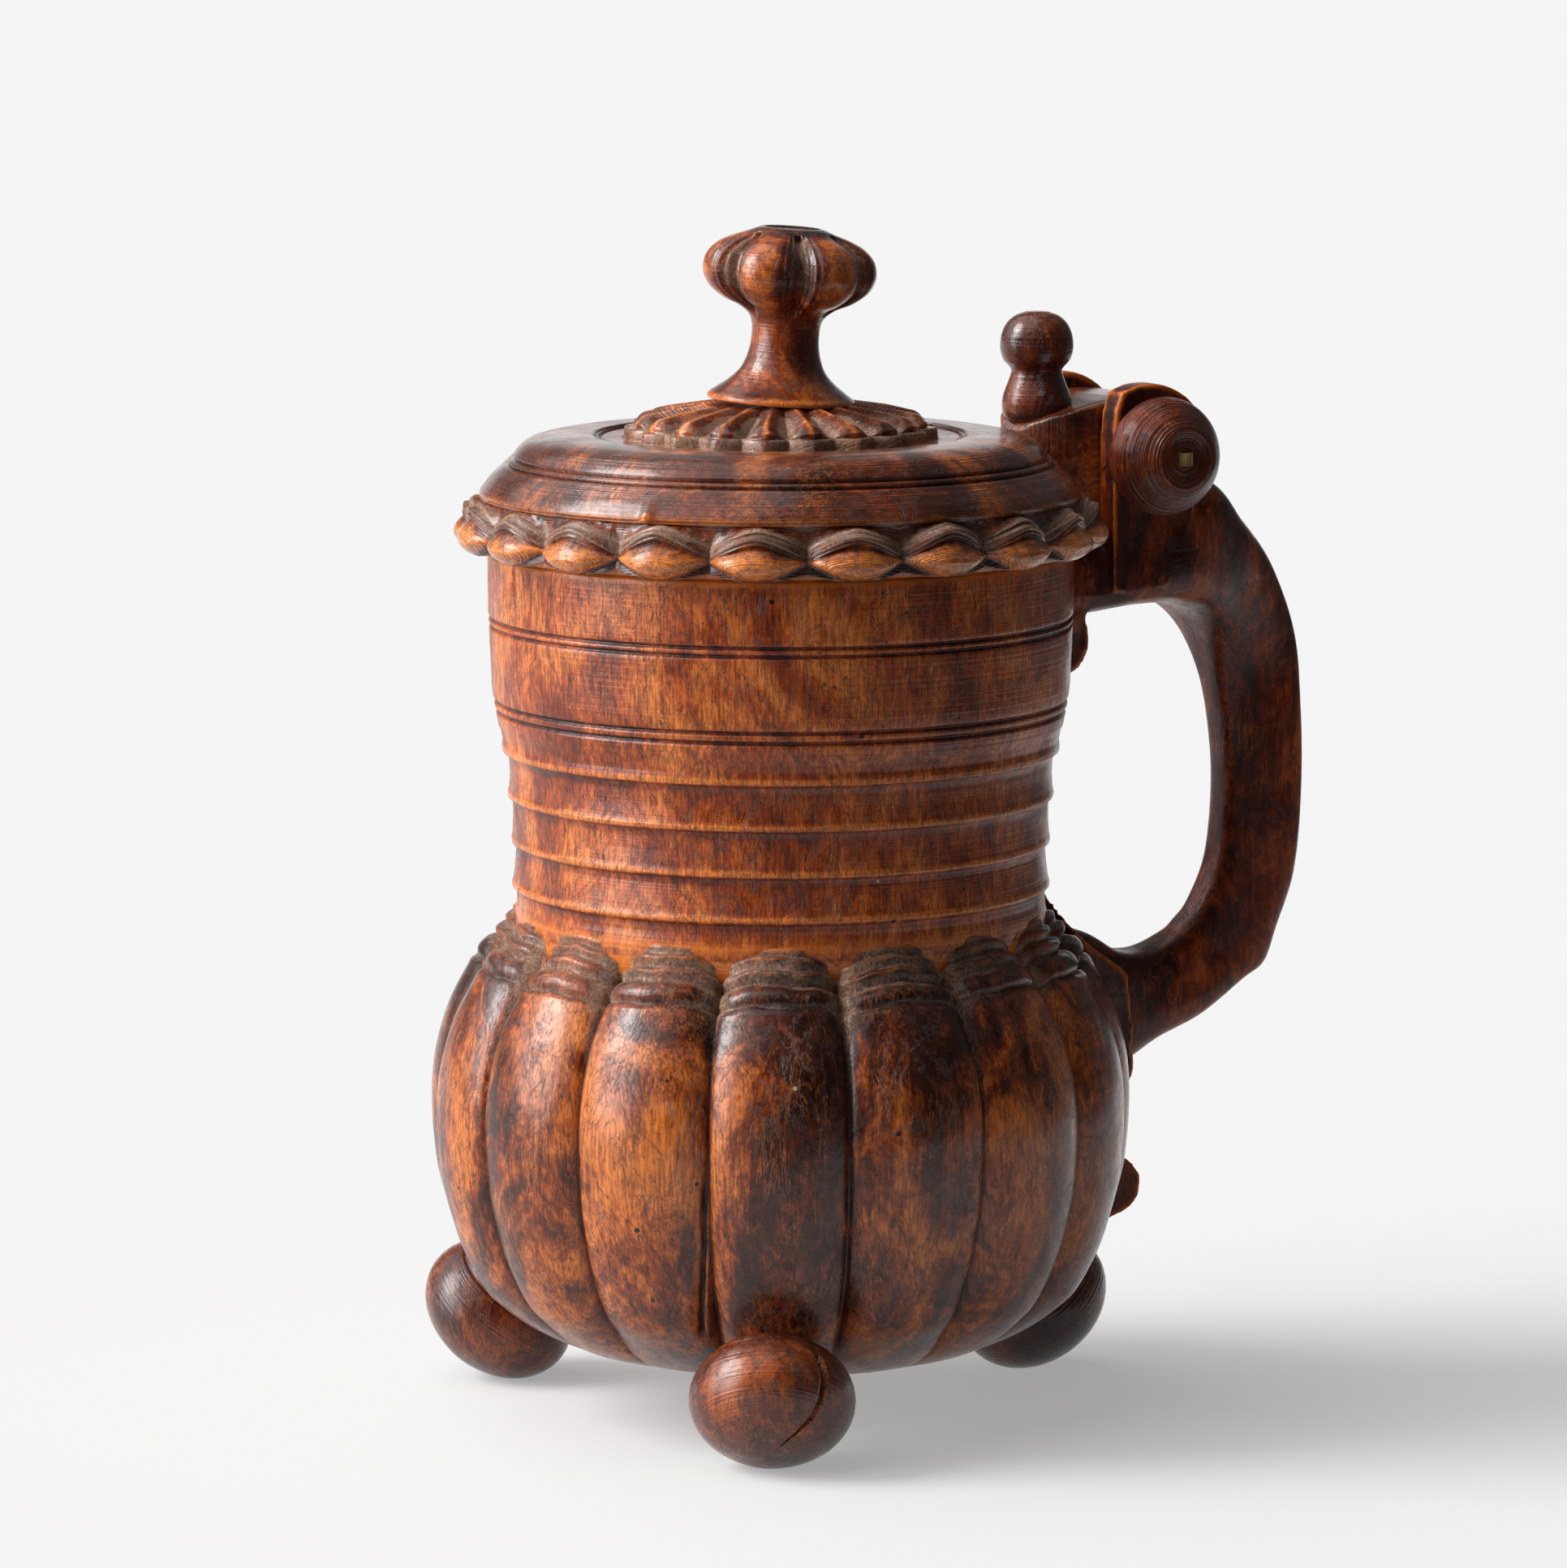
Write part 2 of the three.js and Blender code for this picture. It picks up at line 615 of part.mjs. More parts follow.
// Lid
const lidUnderside = rimHeight + clearance;
const lidRadius = rimRadius + lidOverhang;
const lidTop = lidUnderside + lidDomeHeight;
const beadTop = lidUnderside + lidBeadHeight;
const rosetteTop = lidTop + rosetteRise - 0.5;
const rimStep = rimRadius + 0.8;
const lidDome = turned([
  [0, lidUnderside + 1],
  [rimStep - 1.5, lidUnderside + 1],
  [rimStep, beadTop - 1],
  [rimStep - 0.1, beadTop + 1.9],
  [rimRadius - 2.6, lidTop - 6.6],
  [rimRadius - 3.5, lidTop - 5.7],
  [rimRadius - 4.3 - 0.7 * lidLineDepth, lidTop - 4.9 - 0.7 * lidLineDepth],
  [rimRadius - 4.6, lidTop - 4.6],
  [rimRadius - 5.2 - 0.7 * lidLineDepth, lidTop - 4 - 0.7 * lidLineDepth],
  [rimRadius - 5.6, lidTop - 3.4],
  [rimRadius - 8.1, lidTop - 1.3],
  [rimRadius - 12, lidTop - 0.3],
  [rosetteRadius + 5.5, lidTop - 0.1],
  [rosetteRadius + 4.6, lidTop - 0.3 - lidLineDepth],
  [rosetteRadius - 1, lidTop - 0.8],
  [0, lidTop - 0.8],
], 40);

// The bead ring swells out of the rim. Its beads are shaped like almonds: full on the middle of a
// bead, drawn in and low in the valley beside it.
const beadMiddle = lidUnderside + lidBeadHeight / 2;
const beadRing = turned([
  [0, lidUnderside],
  [rimRadius + 0.9, lidUnderside],
  [lidRadius - 2.2, lidUnderside + 0.4],
  [lidRadius - 0.2, beadMiddle - 1.8],
  [lidRadius - 0.7, beadMiddle + 2.2],
  [lidRadius - 1.6 - lidBeadStep, beadMiddle + 3],
  [lidRadius - 2.2 - lidBeadStep, beadTop - 0.9],
  [rimStep - 0.4, beadTop - 0.4],
  [0, beadTop - 0.4],
], lidBeadCount * 4, {
  phase: lidBeadPhase,
  carve: (radius, height, angle) => {
    if (radius < rimStep + 0.2) return [radius, height];
    const away = fromCrown(angle, lidBeadCount, lidBeadPhase);
    const core = lidRadius - lidBeadDepth;
    const valleyHeight = beadMiddle - 0.8;
    return [
      core + (radius - core) * (1 - 0.9 * away ** 1.8),
      valleyHeight + (height - valleyHeight) * (1 - 0.6 * away ** 1.5),
    ];
  },
});

// Rosette: a low notched tier, and on it the ridges that stand between hollow flutes
const ridgeColumns = lidBeadCount * 4;
const ridgeRadius = rosetteRadius - rosetteTierWidth;
const rosette = turned([
  [0, lidTop - 2],
  [rosetteRadius, lidTop - 2],
  [rosetteRadius - 0.1, lidTop - 0.8 + rosetteTierHeight],
  [ridgeRadius, lidTop - 0.6 + rosetteTierHeight],
  [ridgeRadius - 0.6, rosetteTop - 2.3],
  [finialBaseRadius + 1.5, rosetteTop],
  [0, rosetteTop],
], ridgeColumns, {
  carve: (radius, height, angle) => {
    const away = fromCrown(angle, lidBeadCount);
    if (radius > ridgeRadius + 0.1) return [radius - (away > 0.9 ? 1.2 : 0), height];
    if (radius < finialBaseRadius || radius > ridgeRadius - 0.3) return [radius, height];
    const reach = radius / ridgeRadius;
    return [radius, height - rosetteRidgeDepth * reach * Math.min(away * 1.25, 1)];
  },
});

const registerRadius = mouthRadius - lidRegisterPlay;
const lidHollow = turned([
  [0, lidUnderside - lidRegisterDepth - 2],
  [registerRadius - lidRegisterWall, lidUnderside - lidRegisterDepth - 2],
  [registerRadius - lidRegisterWall - 0.6, lidUnderside + lidHollowDepth * 0.35],
  [registerRadius - lidRegisterWall - 12, lidUnderside + lidHollowDepth - 0.8],
  [0, lidUnderside + lidHollowDepth],
], 28);
const lidRegister = turned([
  [0, lidUnderside - lidRegisterDepth],
  [registerRadius, lidUnderside - lidRegisterDepth],
  [registerRadius, lidUnderside + 1],
  [0, lidUnderside + 1],
], 40);

// Arm: from the dome to the round barrel on the pin, with a heel behind it that stops the lid
function armSolid() {
  const side = new THREE.Shape();
  const barrelTop = hingeHeight + armBarrelRadius - 0.2;
  const topAt = (x) => barrelTop - 0.5 - (hingeReach - 5.5 - x) * Math.tan(armTopSlope);
  const heel = hingeReach + armHeelLength;
  side.moveTo(armFrontReach, lidUnderside + 0.6);
  side.lineTo(armFrontReach, topAt(armFrontReach) - armFrontDrop);
  side.lineTo(armFrontReach + armFrontDrop, topAt(armFrontReach + armFrontDrop));
  side.lineTo(hingeReach - 5.5, topAt(hingeReach - 5.5));
  side.quadraticCurveTo(hingeReach + 3, barrelTop + 0.6, heel, hingeHeight + armHeelHeight);
  side.lineTo(hingeReach + armBarrelRadius, hingeHeight);
  side.absarc(hingeReach, hingeHeight, armBarrelRadius, 0, -102 * degrees, true);
  side.lineTo(hingeReach - earFront, lidUnderside + 4.2);
  side.lineTo(hingeReach - earFront - 2.2, lidUnderside + 0.8);
  const plan = new THREE.Shape();
  const half = armWidth / 2;
  plan.moveTo(heel + 10, -half);
  plan.lineTo(heel + 10, half);
  plan.lineTo(armFrontReach + half, half);
  plan.absarc(armFrontReach + half, 0, half, Math.PI / 2, (3 * Math.PI) / 2, false);
  return sideSlab(side, armWidth, 12).intersect(planSlab(plan, lidUnderside, hingeHeight + 40));
}

// Where a point on the arm's centre line lies on its sloping top
const armTopHeight = (x) => (
  hingeHeight + armBarrelRadius - 0.7 - (hingeReach - 5.5 - x) * Math.tan(armTopSlope)
);
const thumbSeat = armTopHeight(thumbReach) - 1.6;
const thumbSeatSpace = rodAlongZ(thumbBulgeRadius + clearance, thumbSeat - clearance, thumbSeat + 20)
  .translate(thumbReach, 0, 0);
const thumbSocketFloor = thumbSeat - thumbTenonLength - clearance;
const thumbSocket = rodAlongZ(thumbTenonRadius + clearance, thumbSocketFloor, thumbSeat, 12)
  .translate(thumbReach, 0, 0);

const finialSeat = rosetteTop + clearance;
const finialTurn = new THREE.Matrix4().makeRotationAxis(
  new THREE.Vector3(-Math.sin(finialLeanAngle), Math.cos(finialLeanAngle), 0),
  finialLean,
).setPosition(0, 0, finialSeat);
const finialSocket = rodAlongZ(finialTenonRadius + clearance, -finialTenonLength - 3, 2)
  .applyMatrix4(finialTurn);

const lidSolid = lidDome
  .add(beadRing)
  .add(rosette)
  .add(armSolid())
  .add(lidRegister)
  .subtract(lidHollow)
  .subtract(toSolid(thumbSeatSpace))
  .subtract(toSolid(thumbSocket))
  .subtract(toSolid(finialSocket))
  .subtract(pinBore);

// Finial: flared base, waisted stem and a head of six rounded lobes; it leans a little with age.
const finialHeadMiddle = 25.3;
const finialProfile = [
  [0, -finialTenonLength],
  [finialTenonRadius, -finialTenonLength],
  [finialTenonRadius, 0.9],
  [finialBaseRadius - 1, 0.9],
  [finialBaseRadius, 1.6],
  [finialBaseRadius - 2.2, 3.6],
  [finialStemRadius + 3.2, 5.5],
  [finialStemRadius + 0.7, 8.8],
  [finialStemRadius, 12.4],
  [finialStemRadius + 0.4, 16.2],
  [finialStemRadius + 3, 18],
  [finialHeadRadius - 3.4, 19.8],
  [finialHeadRadius - 0.7, 22.6],
  [finialHeadRadius, finialHeadMiddle],
  [finialHeadRadius - 1, 28.8],
  [finialHeadRadius - 4.4, 31.8],
  [finialStemRadius + 1, finialHeight - 0.9],
  [finialStemRadius - 1, finialHeight],
  [0, finialHeight],
];

// The lobes are like a ring of balls: the distance to the surface of the nearest one.
function carveFinial(radius, height, angle) {
  if (height < 17 || radius < 1) return [radius, height];
  const away = fromCrown(angle, finialLobeCount, finialLobePhase) * (Math.PI / finialLobeCount);
  const ballCentre = 9.6;
  const ballRadius = 7.3;
  const chord = Math.sqrt(ballRadius ** 2 - (ballCentre * Math.sin(away)) ** 2);
  const surface = ballCentre * Math.cos(away) + chord;
  const share = surface / (ballCentre + ballRadius);
  const blend = smoothStep(radius, finialStemRadius, finialStemRadius + 6);
  return [radius * (1 - blend * (1 - share)), height];
}

const finialSolid = turned(finialProfile, finialLobeCount * 4, {
  phase: finialLobePhase,
  carve: carveFinial,
});

const thumbBallHeight = thumbHeight - thumbBallRadius;
const thumbProfile = [
  [0, -thumbTenonLength],
  [thumbTenonRadius, -thumbTenonLength],
  [thumbTenonRadius, 0],
  [thumbBulgeRadius - 2.2, 0],
  [thumbBulgeRadius - 0.7, 1.4],
  [thumbBulgeRadius, 4],
  [thumbBulgeRadius - 0.8, 6.4],
  [thumbNeckRadius, thumbBallHeight - 4.8],
];
for (const turn of [-30, -8, 12, 32, 52, 71]) {
  thumbProfile.push([
    thumbBallRadius * Math.cos(turn * degrees),
    thumbBallHeight + thumbBallRadius * Math.sin(turn * degrees),
  ]);
}
thumbProfile.push([0, thumbHeight]);
const thumbSolid = turned(thumbProfile, 16);

// Knob and pin head, from the ear outwards; the middle of the knob's face is dished.
const knobOutline = [
  [knobRadius - 2.4, 0],
  [knobRadius - 1.2, 1.3],
  [knobRadius, 4.4],
  [knobRadius - 0.5, 7.3],
  [knobRadius - 2.5, 10.6],
  [knobRadius - 4.8, knobLength - 0.5],
  [knobRadius - 5.9, knobLength],
  [0, knobLength - 0.6],
];
const pinHeadOutline = [
  [pinHeadRadius - 1.1, 0],
  [pinHeadRadius, 1.6],
  [pinHeadRadius, 3.1],
  [pinHeadRadius - 1.6, pinHeadLength - 0.9],
  [0, pinHeadLength],
];
const knobColumns = 20;
const knobSolid = turned([[0, 0], ...knobOutline], knobColumns)
  .subtract(toSolid(rodAlongZ(pinRadius + clearance, -1, knobBoreDepth)))
  .subtract(toSolid(rodAlongZ(pegHoleRadius, knobBoreDepth - 1, knobLength + 2, 12)));

// The pin runs from inside the front knob through both ears; a low head is turned on its rear end.
const pinBack = headWidth / 2 + clearance;
const pinFront = -(pinBack + knobBoreDepth - clearance);
const pinTurned = turned([
  [0, pinFront],
  [pinRadius, pinFront],
  [pinRadius, pinBack],
  ...pinHeadOutline.map(([radius, height]) => [radius, pinBack + height]),
], knobColumns);
const pegInPin = pegLength - (knobLength - knobBoreDepth);
const pinSolid = pinTurned.subtract(
  toSolid(rodAlongZ(pegHoleRadius, pinFront - 1, pinFront + pegInPin + clearance, 12)),
);

// Assembly
const tankard = new THREE.Group();
const vessel = toMesh('vessel', vesselSolid, vesselWood);
tankard.add(vessel);
feet.forEach((solid, i) => tankard.add(toMesh(`ball_foot_${i + 1}`, solid, turnedWood)));
tankard.add(toMesh('handle', handleSolid, handleWood));

handlePegs.forEach(({ height, outer, length }, i) => {
  const peg = toMesh(`handle_peg_${i + 1}`, toSolid(rodAlongX(handlePegRadius, -length, 0)), turnedWood);
  peg.position.set(outer, 0, height);
  tankard.add(peg);
});

const pin = toMesh('hinge_pin', pinSolid, turnedWood);
pin.position.set(hingeReach, 0, hingeHeight);
pin.rotation.x = -Math.PI / 2;
tankard.add(pin);

const frontEnd = new THREE.Group();
frontEnd.position.set(hingeReach, -headWidth / 2 - clearance, hingeHeight);
frontEnd.rotation.x = Math.PI / 2;
frontEnd.add(toMesh('hinge_knob', knobSolid, turnedWood));
const peg = new THREE.BoxGeometry(pegSide, pegSide, pegLength);
const knobPeg = toMesh('knob_peg', toSolid(peg), paleWood);
knobPeg.position.z = knobLength - pegLength / 2;
frontEnd.add(knobPeg);
tankard.add(frontEnd);

const lidGroup = new THREE.Group();
lidGroup.add(toMesh('lid', lidSolid, lidWood));
const finial = toMesh('finial', finialSolid, turnedWood);
finial.applyMatrix4(finialTurn);
lidGroup.add(finial);
const thumbpiece = toMesh('thumbpiece', thumbSolid, turnedWood);
thumbpiece.position.set(thumbReach, 0, thumbSeat);
lidGroup.add(thumbpiece);
tankard.add(lidGroup);

// Origin: the middle of the whole tankard in plan, on the table
const bounds = new THREE.Box3().setFromObject(tankard, true);
const middle = bounds.getCenter(new THREE.Vector3());
tankard.position.set(-middle.x, -middle.y, -bounds.min.z);

export default tankard;
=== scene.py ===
"""Looks of the lidded burr birch tankard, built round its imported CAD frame.

Shapes are worked out in millimetres round the turning axis of the vessel: x towards the handle,
z up from the table. place() moves them to the frame of the CAD model and turns them into metres.
"""
import json
import math

import bpy
import numpy as np
from mathutils import Matrix, Vector


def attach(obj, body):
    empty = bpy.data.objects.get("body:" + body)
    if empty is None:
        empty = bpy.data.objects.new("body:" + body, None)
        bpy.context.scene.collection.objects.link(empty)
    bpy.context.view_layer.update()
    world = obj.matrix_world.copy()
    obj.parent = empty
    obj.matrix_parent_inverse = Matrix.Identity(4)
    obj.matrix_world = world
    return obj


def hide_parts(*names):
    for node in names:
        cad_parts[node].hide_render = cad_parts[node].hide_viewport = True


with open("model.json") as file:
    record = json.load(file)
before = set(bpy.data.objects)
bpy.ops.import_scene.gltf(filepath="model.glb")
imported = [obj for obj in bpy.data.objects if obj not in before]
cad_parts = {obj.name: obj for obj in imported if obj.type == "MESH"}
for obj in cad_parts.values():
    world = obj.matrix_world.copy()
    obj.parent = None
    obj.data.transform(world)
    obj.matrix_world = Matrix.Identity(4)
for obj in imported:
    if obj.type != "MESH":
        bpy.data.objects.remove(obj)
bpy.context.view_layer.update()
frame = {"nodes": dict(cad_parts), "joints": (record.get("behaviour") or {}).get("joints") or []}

# The hinge lies HINGE_REACH from the turning axis of the vessel, whose flat base is at BASE_HEIGHT.
# The ears of the handle end at HEAD_HALF on both sides. GAP is left between a piece and its carrier.
HINGE = next(j for j in frame["joints"] if j["name"] == "lid_hinge")
HINGE_REACH = 73.7
HINGE_HEIGHT = HINGE["pos_m"][2] * 1000
AXIS_X = HINGE["pos_m"][0] * 1000 - HINGE_REACH
HEAD_HALF = 19.25
BASE_HEIGHT = 13.0
TANKARD = "tankard_body"
LID = "lid_body"
GAP = 0.25
DEG = math.pi / 180

# Curves and surfaces


def spline(points, step, closed=False):
    """A Catmull-Rom curve through the points, resampled at equal steps of arc length."""
    points = np.asarray(points, float)
    if closed:
        points = np.vstack([points, points[:1]])
    chord = np.concatenate([[0], np.cumsum(np.sqrt(np.linalg.norm(np.diff(points, axis=0), axis=1)))])
    slope = np.gradient(points, chord, axis=0)
    if closed:
        slope[0] = slope[-1] = (slope[0] + slope[-1]) / 2
    fine = np.linspace(0, chord[-1], 60 * len(points))
    i = np.clip(np.searchsorted(chord, fine, side="right") - 1, 0, len(points) - 2)
    width = (chord[i + 1] - chord[i])[:, None]
    t = (fine - chord[i])[:, None] / width
    curve = (
        (2 * t**3 - 3 * t**2 + 1) * points[i]
        + (t**3 - 2 * t**2 + t) * width * slope[i]
        + (3 * t**2 - 2 * t**3) * points[i + 1]
        + (t**3 - t**2) * width * slope[i + 1]
    )
    return resample(curve, step)


def resample(curve, step):
    """The points of a polyline at equal steps of its length."""
    length = np.concatenate([[0], np.cumsum(np.linalg.norm(np.diff(curve, axis=0), axis=1))])
    count = max(int(round(length[-1] / step)), 1) + 1
    at = np.linspace(0, length[-1], count)
    return np.stack([np.interp(at, length, curve[:, k]) for k in range(curve.shape[1])], axis=1)


def subdivided(points, step):
    """A polyline that keeps its given points and has more between them, at most a step apart."""
    out = [np.asarray(points[0], float)]
    for a, b in zip(points[:-1], points[1:]):
        a, b = np.asarray(a, float), np.asarray(b, float)
        count = max(int(math.ceil(np.linalg.norm(b - a) / step)), 1)
        out.extend(a + (b - a) * k / count for k in range(1, count + 1))
    return np.array(out)


def smoothstep(value, low, high):
    """0 up to low, 1 from high, and a smooth rise between them. With both negated, it falls."""
    t = np.clip((value - low) / (high - low), 0, 1)
    return t * t * (3 - 2 * t)


def peak(distance, width):
    """A bell curve: 1 where the distance is 0, and 0.37 where it is the width."""
    return np.exp(-((distance / width) ** 2))


def from_crown(angle, count, phase=0.0):
    """How far an angle lies from the middle of its lobe: 0 on the crown, 1 in the groove."""
    turns = (angle - phase) * count / (2 * math.pi)
    return np.abs(turns - np.round(turns)) * 2


def wobble(a, b, seed, size):
    """A slow hand-made unevenness: a sum of a few sines of the two coordinates."""
    draw = np.random.default_rng(seed)
    total = 0
    for k in range(6):
        turns = draw.integers(1, 7)
        pitch = draw.uniform(0.02, 0.12)
        total = total + np.sin(turns * a + pitch * b + draw.uniform(0, 6.28)) / 6
    return size * total


def crack(angle, height, path, radius, width=0.45):
    """A drying crack along a path of heights and angles in degrees: 1 on its line, 0 beside it and
    beyond its two ends. The radius turns angles into millimetres, in which the width is."""
    heights, angles = np.array(path, float).T
    aside = (angle - np.interp(height, heights, angles) * DEG + math.pi) % (2 * math.pi) - math.pi
    opens = smoothstep(height, heights[0], heights[1])
    closes = smoothstep(-height, -heights[-1], -heights[-2])
    return opens * closes * peak(aside * radius, width)


def ring_points(radius, angle, height):
    """Rows of rings: x = r cos a, y = r sin a, z = h."""
    radius, angle, height = np.broadcast_arrays(radius, angle, height)
    return np.stack([radius * np.cos(angle), radius * np.sin(angle), height], axis=-1)


def skin(rings, start=None, end=None, tube=False):
    """Closes rows of rings into a mesh: quads between rows, and on each end a fan to a pole or a flat
    cap. With tube, the last row joins the first. Returns points and faces."""
    rows, columns = rings.shape[:2]
    points = rings.reshape(-1, 3)
    j = np.arange(columns)
    following = (j + 1) % columns
    low = np.arange(rows if tube else rows - 1)[:, None] * columns
    high = (low + columns) % (rows * columns)
    quads = np.stack([low + j, low + following, high + following, high + j], axis=-1)
    faces = quads.reshape(-1, 4).tolist()
    last = (rows - 1) * columns
    if tube:
        return points, faces
    if start is None:
        faces.append(j[::-1].tolist())
    else:
        faces += np.stack([np.full(columns, len(points)), following, j], axis=-1).tolist()
        points = np.vstack([points, [start]])
    if end is None:
        faces.append((last + j).tolist())
    else:
        faces += np.stack([last + j, last + following, np.full(columns, len(points))], axis=-1).tolist()
        points = np.vstack([points, [end]])
    return points, faces


def edge_pairs(mesh):
    """The two vertex numbers of every edge."""
    pairs = np.empty(len(mesh.edges) * 2, np.int32)
    mesh.edges.foreach_get("vertices", pairs)
    return pairs.reshape(-1, 2)


def smoothed(points, pairs, rounds, share=0.5):
    """Each round moves a point a share of the way to the mean of its neighbours."""
    count = np.bincount(pairs.ravel(), minlength=len(points))[:, None].clip(1)
    out = points.copy()
    for _ in range(rounds):
        total = np.empty_like(out)
        for k in range(3):
            total[:, k] = np.bincount(pairs[:, 0], out[pairs[:, 1], k], len(out))
            total[:, k] += np.bincount(pairs[:, 1], out[pairs[:, 0], k], len(out))
        out += share * (total / count - out)
    return out


def place(points):
    """From millimetres round the vessel's turning axis to metres in the frame of the CAD model."""
    return (points + np.array([AXIS_X, 0, 0])) / 1000


def add_piece(name, shape, material, body, nodes, values):
    """Makes the object. Its vertex values are fine and wide, how far the surface stands proud of its
    surroundings within about 1 mm and 5 mm, and those that are handed in: along, the way along a
    turned piece; carved, how much dust lies there; and one that is above 0 where the wood is polished
    and below 0 where it is darker, which in grooves and hollows is painted shade."""
    points, faces = shape
    mesh = bpy.data.meshes.new(name)
    mesh.from_pydata(place(points).tolist(), [], faces)
    mesh.update()
    mesh.polygons.foreach_set("use_smooth", np.ones(len(mesh.polygons), bool))
    normals = np.empty(len(points) * 3, np.float32)
    mesh.vertex_normals.foreach_get("vector", normals)
    normals = normals.reshape(-1, 3)
    pairs = edge_pairs(mesh)
    near = smoothed(points, pairs, 4)
    far = smoothed(near, pairs, 24)
    values = {"carved": np.zeros(len(points)), "polish_and_shade": np.zeros(len(points)), **values}
    values["fine"] = np.einsum("ij,ij->i", points - near, normals)
    wide = np.einsum("ij,ij->i", points - far, normals)
    values["wide"] = wide - np.median(wide)
    for key, array in values.items():
        layer = mesh.attributes.new(key, "FLOAT", "POINT")
        layer.data.foreach_set("value", np.asarray(array, np.float32).ravel())
    obj = bpy.data.objects.new(name, mesh)
    bpy.context.scene.collection.objects.link(obj)
    mesh.materials.append(material)
    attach(obj, body)
    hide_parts(*nodes)


# Vessel

LOBES = 15
BELLY_CROWN = [
    (38, 13), (44, 14.5), (50, 17.2), (54.3, 20), (57, 22.2), (59.8, 24.8), (63, 30.2), (65.3, 35.4),
    (67.2, 41.8), (68.6, 47.5), (69.3, 53.5), (69.6, 58), (69.6, 64.5), (69, 70), (67.7, 75.5),
    (66, 80.5), (63.2, 86), (60, 91.7), (56.4, 96.4), (53.4, 99.9),
]
RIB_PROFILE = [
    (88.6, 0), (89.5, 0.35), (90.0, 1.0), (90.5, 0.5), (91.2, 0.1), (92.0, 0), (93.0, 0.25), (93.9, 0.9),
    (94.4, 1.55), (95.0, 1.15), (95.5, 0.5), (96.0, 0.4), (96.6, 0.9), (97.0, 1.45), (97.6, 1.1),
    (98.1, 0.55), (98.5, 0.6), (99.0, 1.2), (99.4, 1.1), (99.9, 0.5),
]


def belly_lines():
    """The crown line of a lobe from the base to its top edge, as radius and height, with its outward
    normal. Its points lie 0.3 mm apart over the ribs and up to 1.6 mm apart below them."""
    line = spline(BELLY_CROWN, 0.25)
    height = line[:, 1]
    step = np.where(height < 20, 1.6, np.where(height < 87.5, 1.25, 0.3))
    travel = np.concatenate([[0], np.cumsum(0.25 / step[1:])])
    at = np.arange(0, travel[-1], 1.0)
    line = np.stack([np.interp(at, travel, line[:, k]) for k in range(2)], axis=1)
    tangent = np.gradient(line, axis=0)
    tangent /= np.linalg.norm(tangent, axis=1)[:, None]
    return line, np.stack([tangent[:, 1], -tangent[:, 0]], axis=1)


def lobe_depth(angle, height):
    """Depth of the carving below the crown line, with w from 0 on the crown to 1 in the groove: a
    round part w^2.1, a steeper part 1 - sqrt(1 - (0.97 w)^5) and a fine tool line along the groove."""
    swing = 0.006 * np.sin(3 * angle + 1.2) + 0.004 * np.sin(7 * angle + height * 0.04)
    away = from_crown(angle + swing, LOBES)
    arc = 0.62 * away**2.1 + 0.38 * (1 - np.sqrt(1 - (0.97 * away) ** 5))
    fade = smoothstep(height, 12, 25)
    deepen = smoothstep(height, 80, 97)
    line = 0.5 * peak(1 - away, 0.05)
    return (3.8 + 1.7 * deepen) * fade * arc + line * fade


def rib_depth(angle, height):
    """Three ridges with coves between them, cut over the shoulder by hand: they wander up and down
    by about 0.4 mm, more from one lobe to the next than along it."""
    lobe = np.round(angle * LOBES / (2 * math.pi))
    wander = 0.3 * np.sin(2.4 * lobe + 0.6)
    wander = wander + 0.22 * np.sin(angle * 23 + 1.1 * lobe) + 0.12 * np.sin(angle * 61)
    fade = smoothstep(height, 88.2, 89.4)
    profile = np.array(RIB_PROFILE)
    deep = 1.2 + 0.25 * np.sin(1.7 * lobe + height * 0.9)
    return np.interp(height + wander * fade, profile[:, 0], profile[:, 1]) * deep


BELLY_CRACK = [(22, -135.2), (26, -134.8), (33.6, -133.8), (43.3, -133), (52.8, -132.7), (60, -132.4)]
BELLY_CRACK_RADIUS = 65
BELLY_PLAY = 0.03
NECK_SEAT = 51.7
BELLY_INSIDE = [
    (52.3, 100.3), (51.5, 100), (50, 97), (49.2, 92.4), (51, 87.8), (53.2, 83), (55, 78.1), (57, 69.5),
    (57.9, 61), (57, 54.6), (55, 49), (50, 41.5), (44, 35), (36.5, 30), (29, 26.5), (15, 25.6),
]
FLOOR_TOP = 25


def lobe_columns(per_lobe):
    """Angles that lie closer together towards the grooves."""
    t = np.arange(per_lobe) / per_lobe * 2 - 1
    t = t + 0.2 * np.sin(math.pi * t)
    start = np.arange(LOBES)[:, None] + t[None, :] / 2
    return (start * 2 * math.pi / LOBES).ravel()


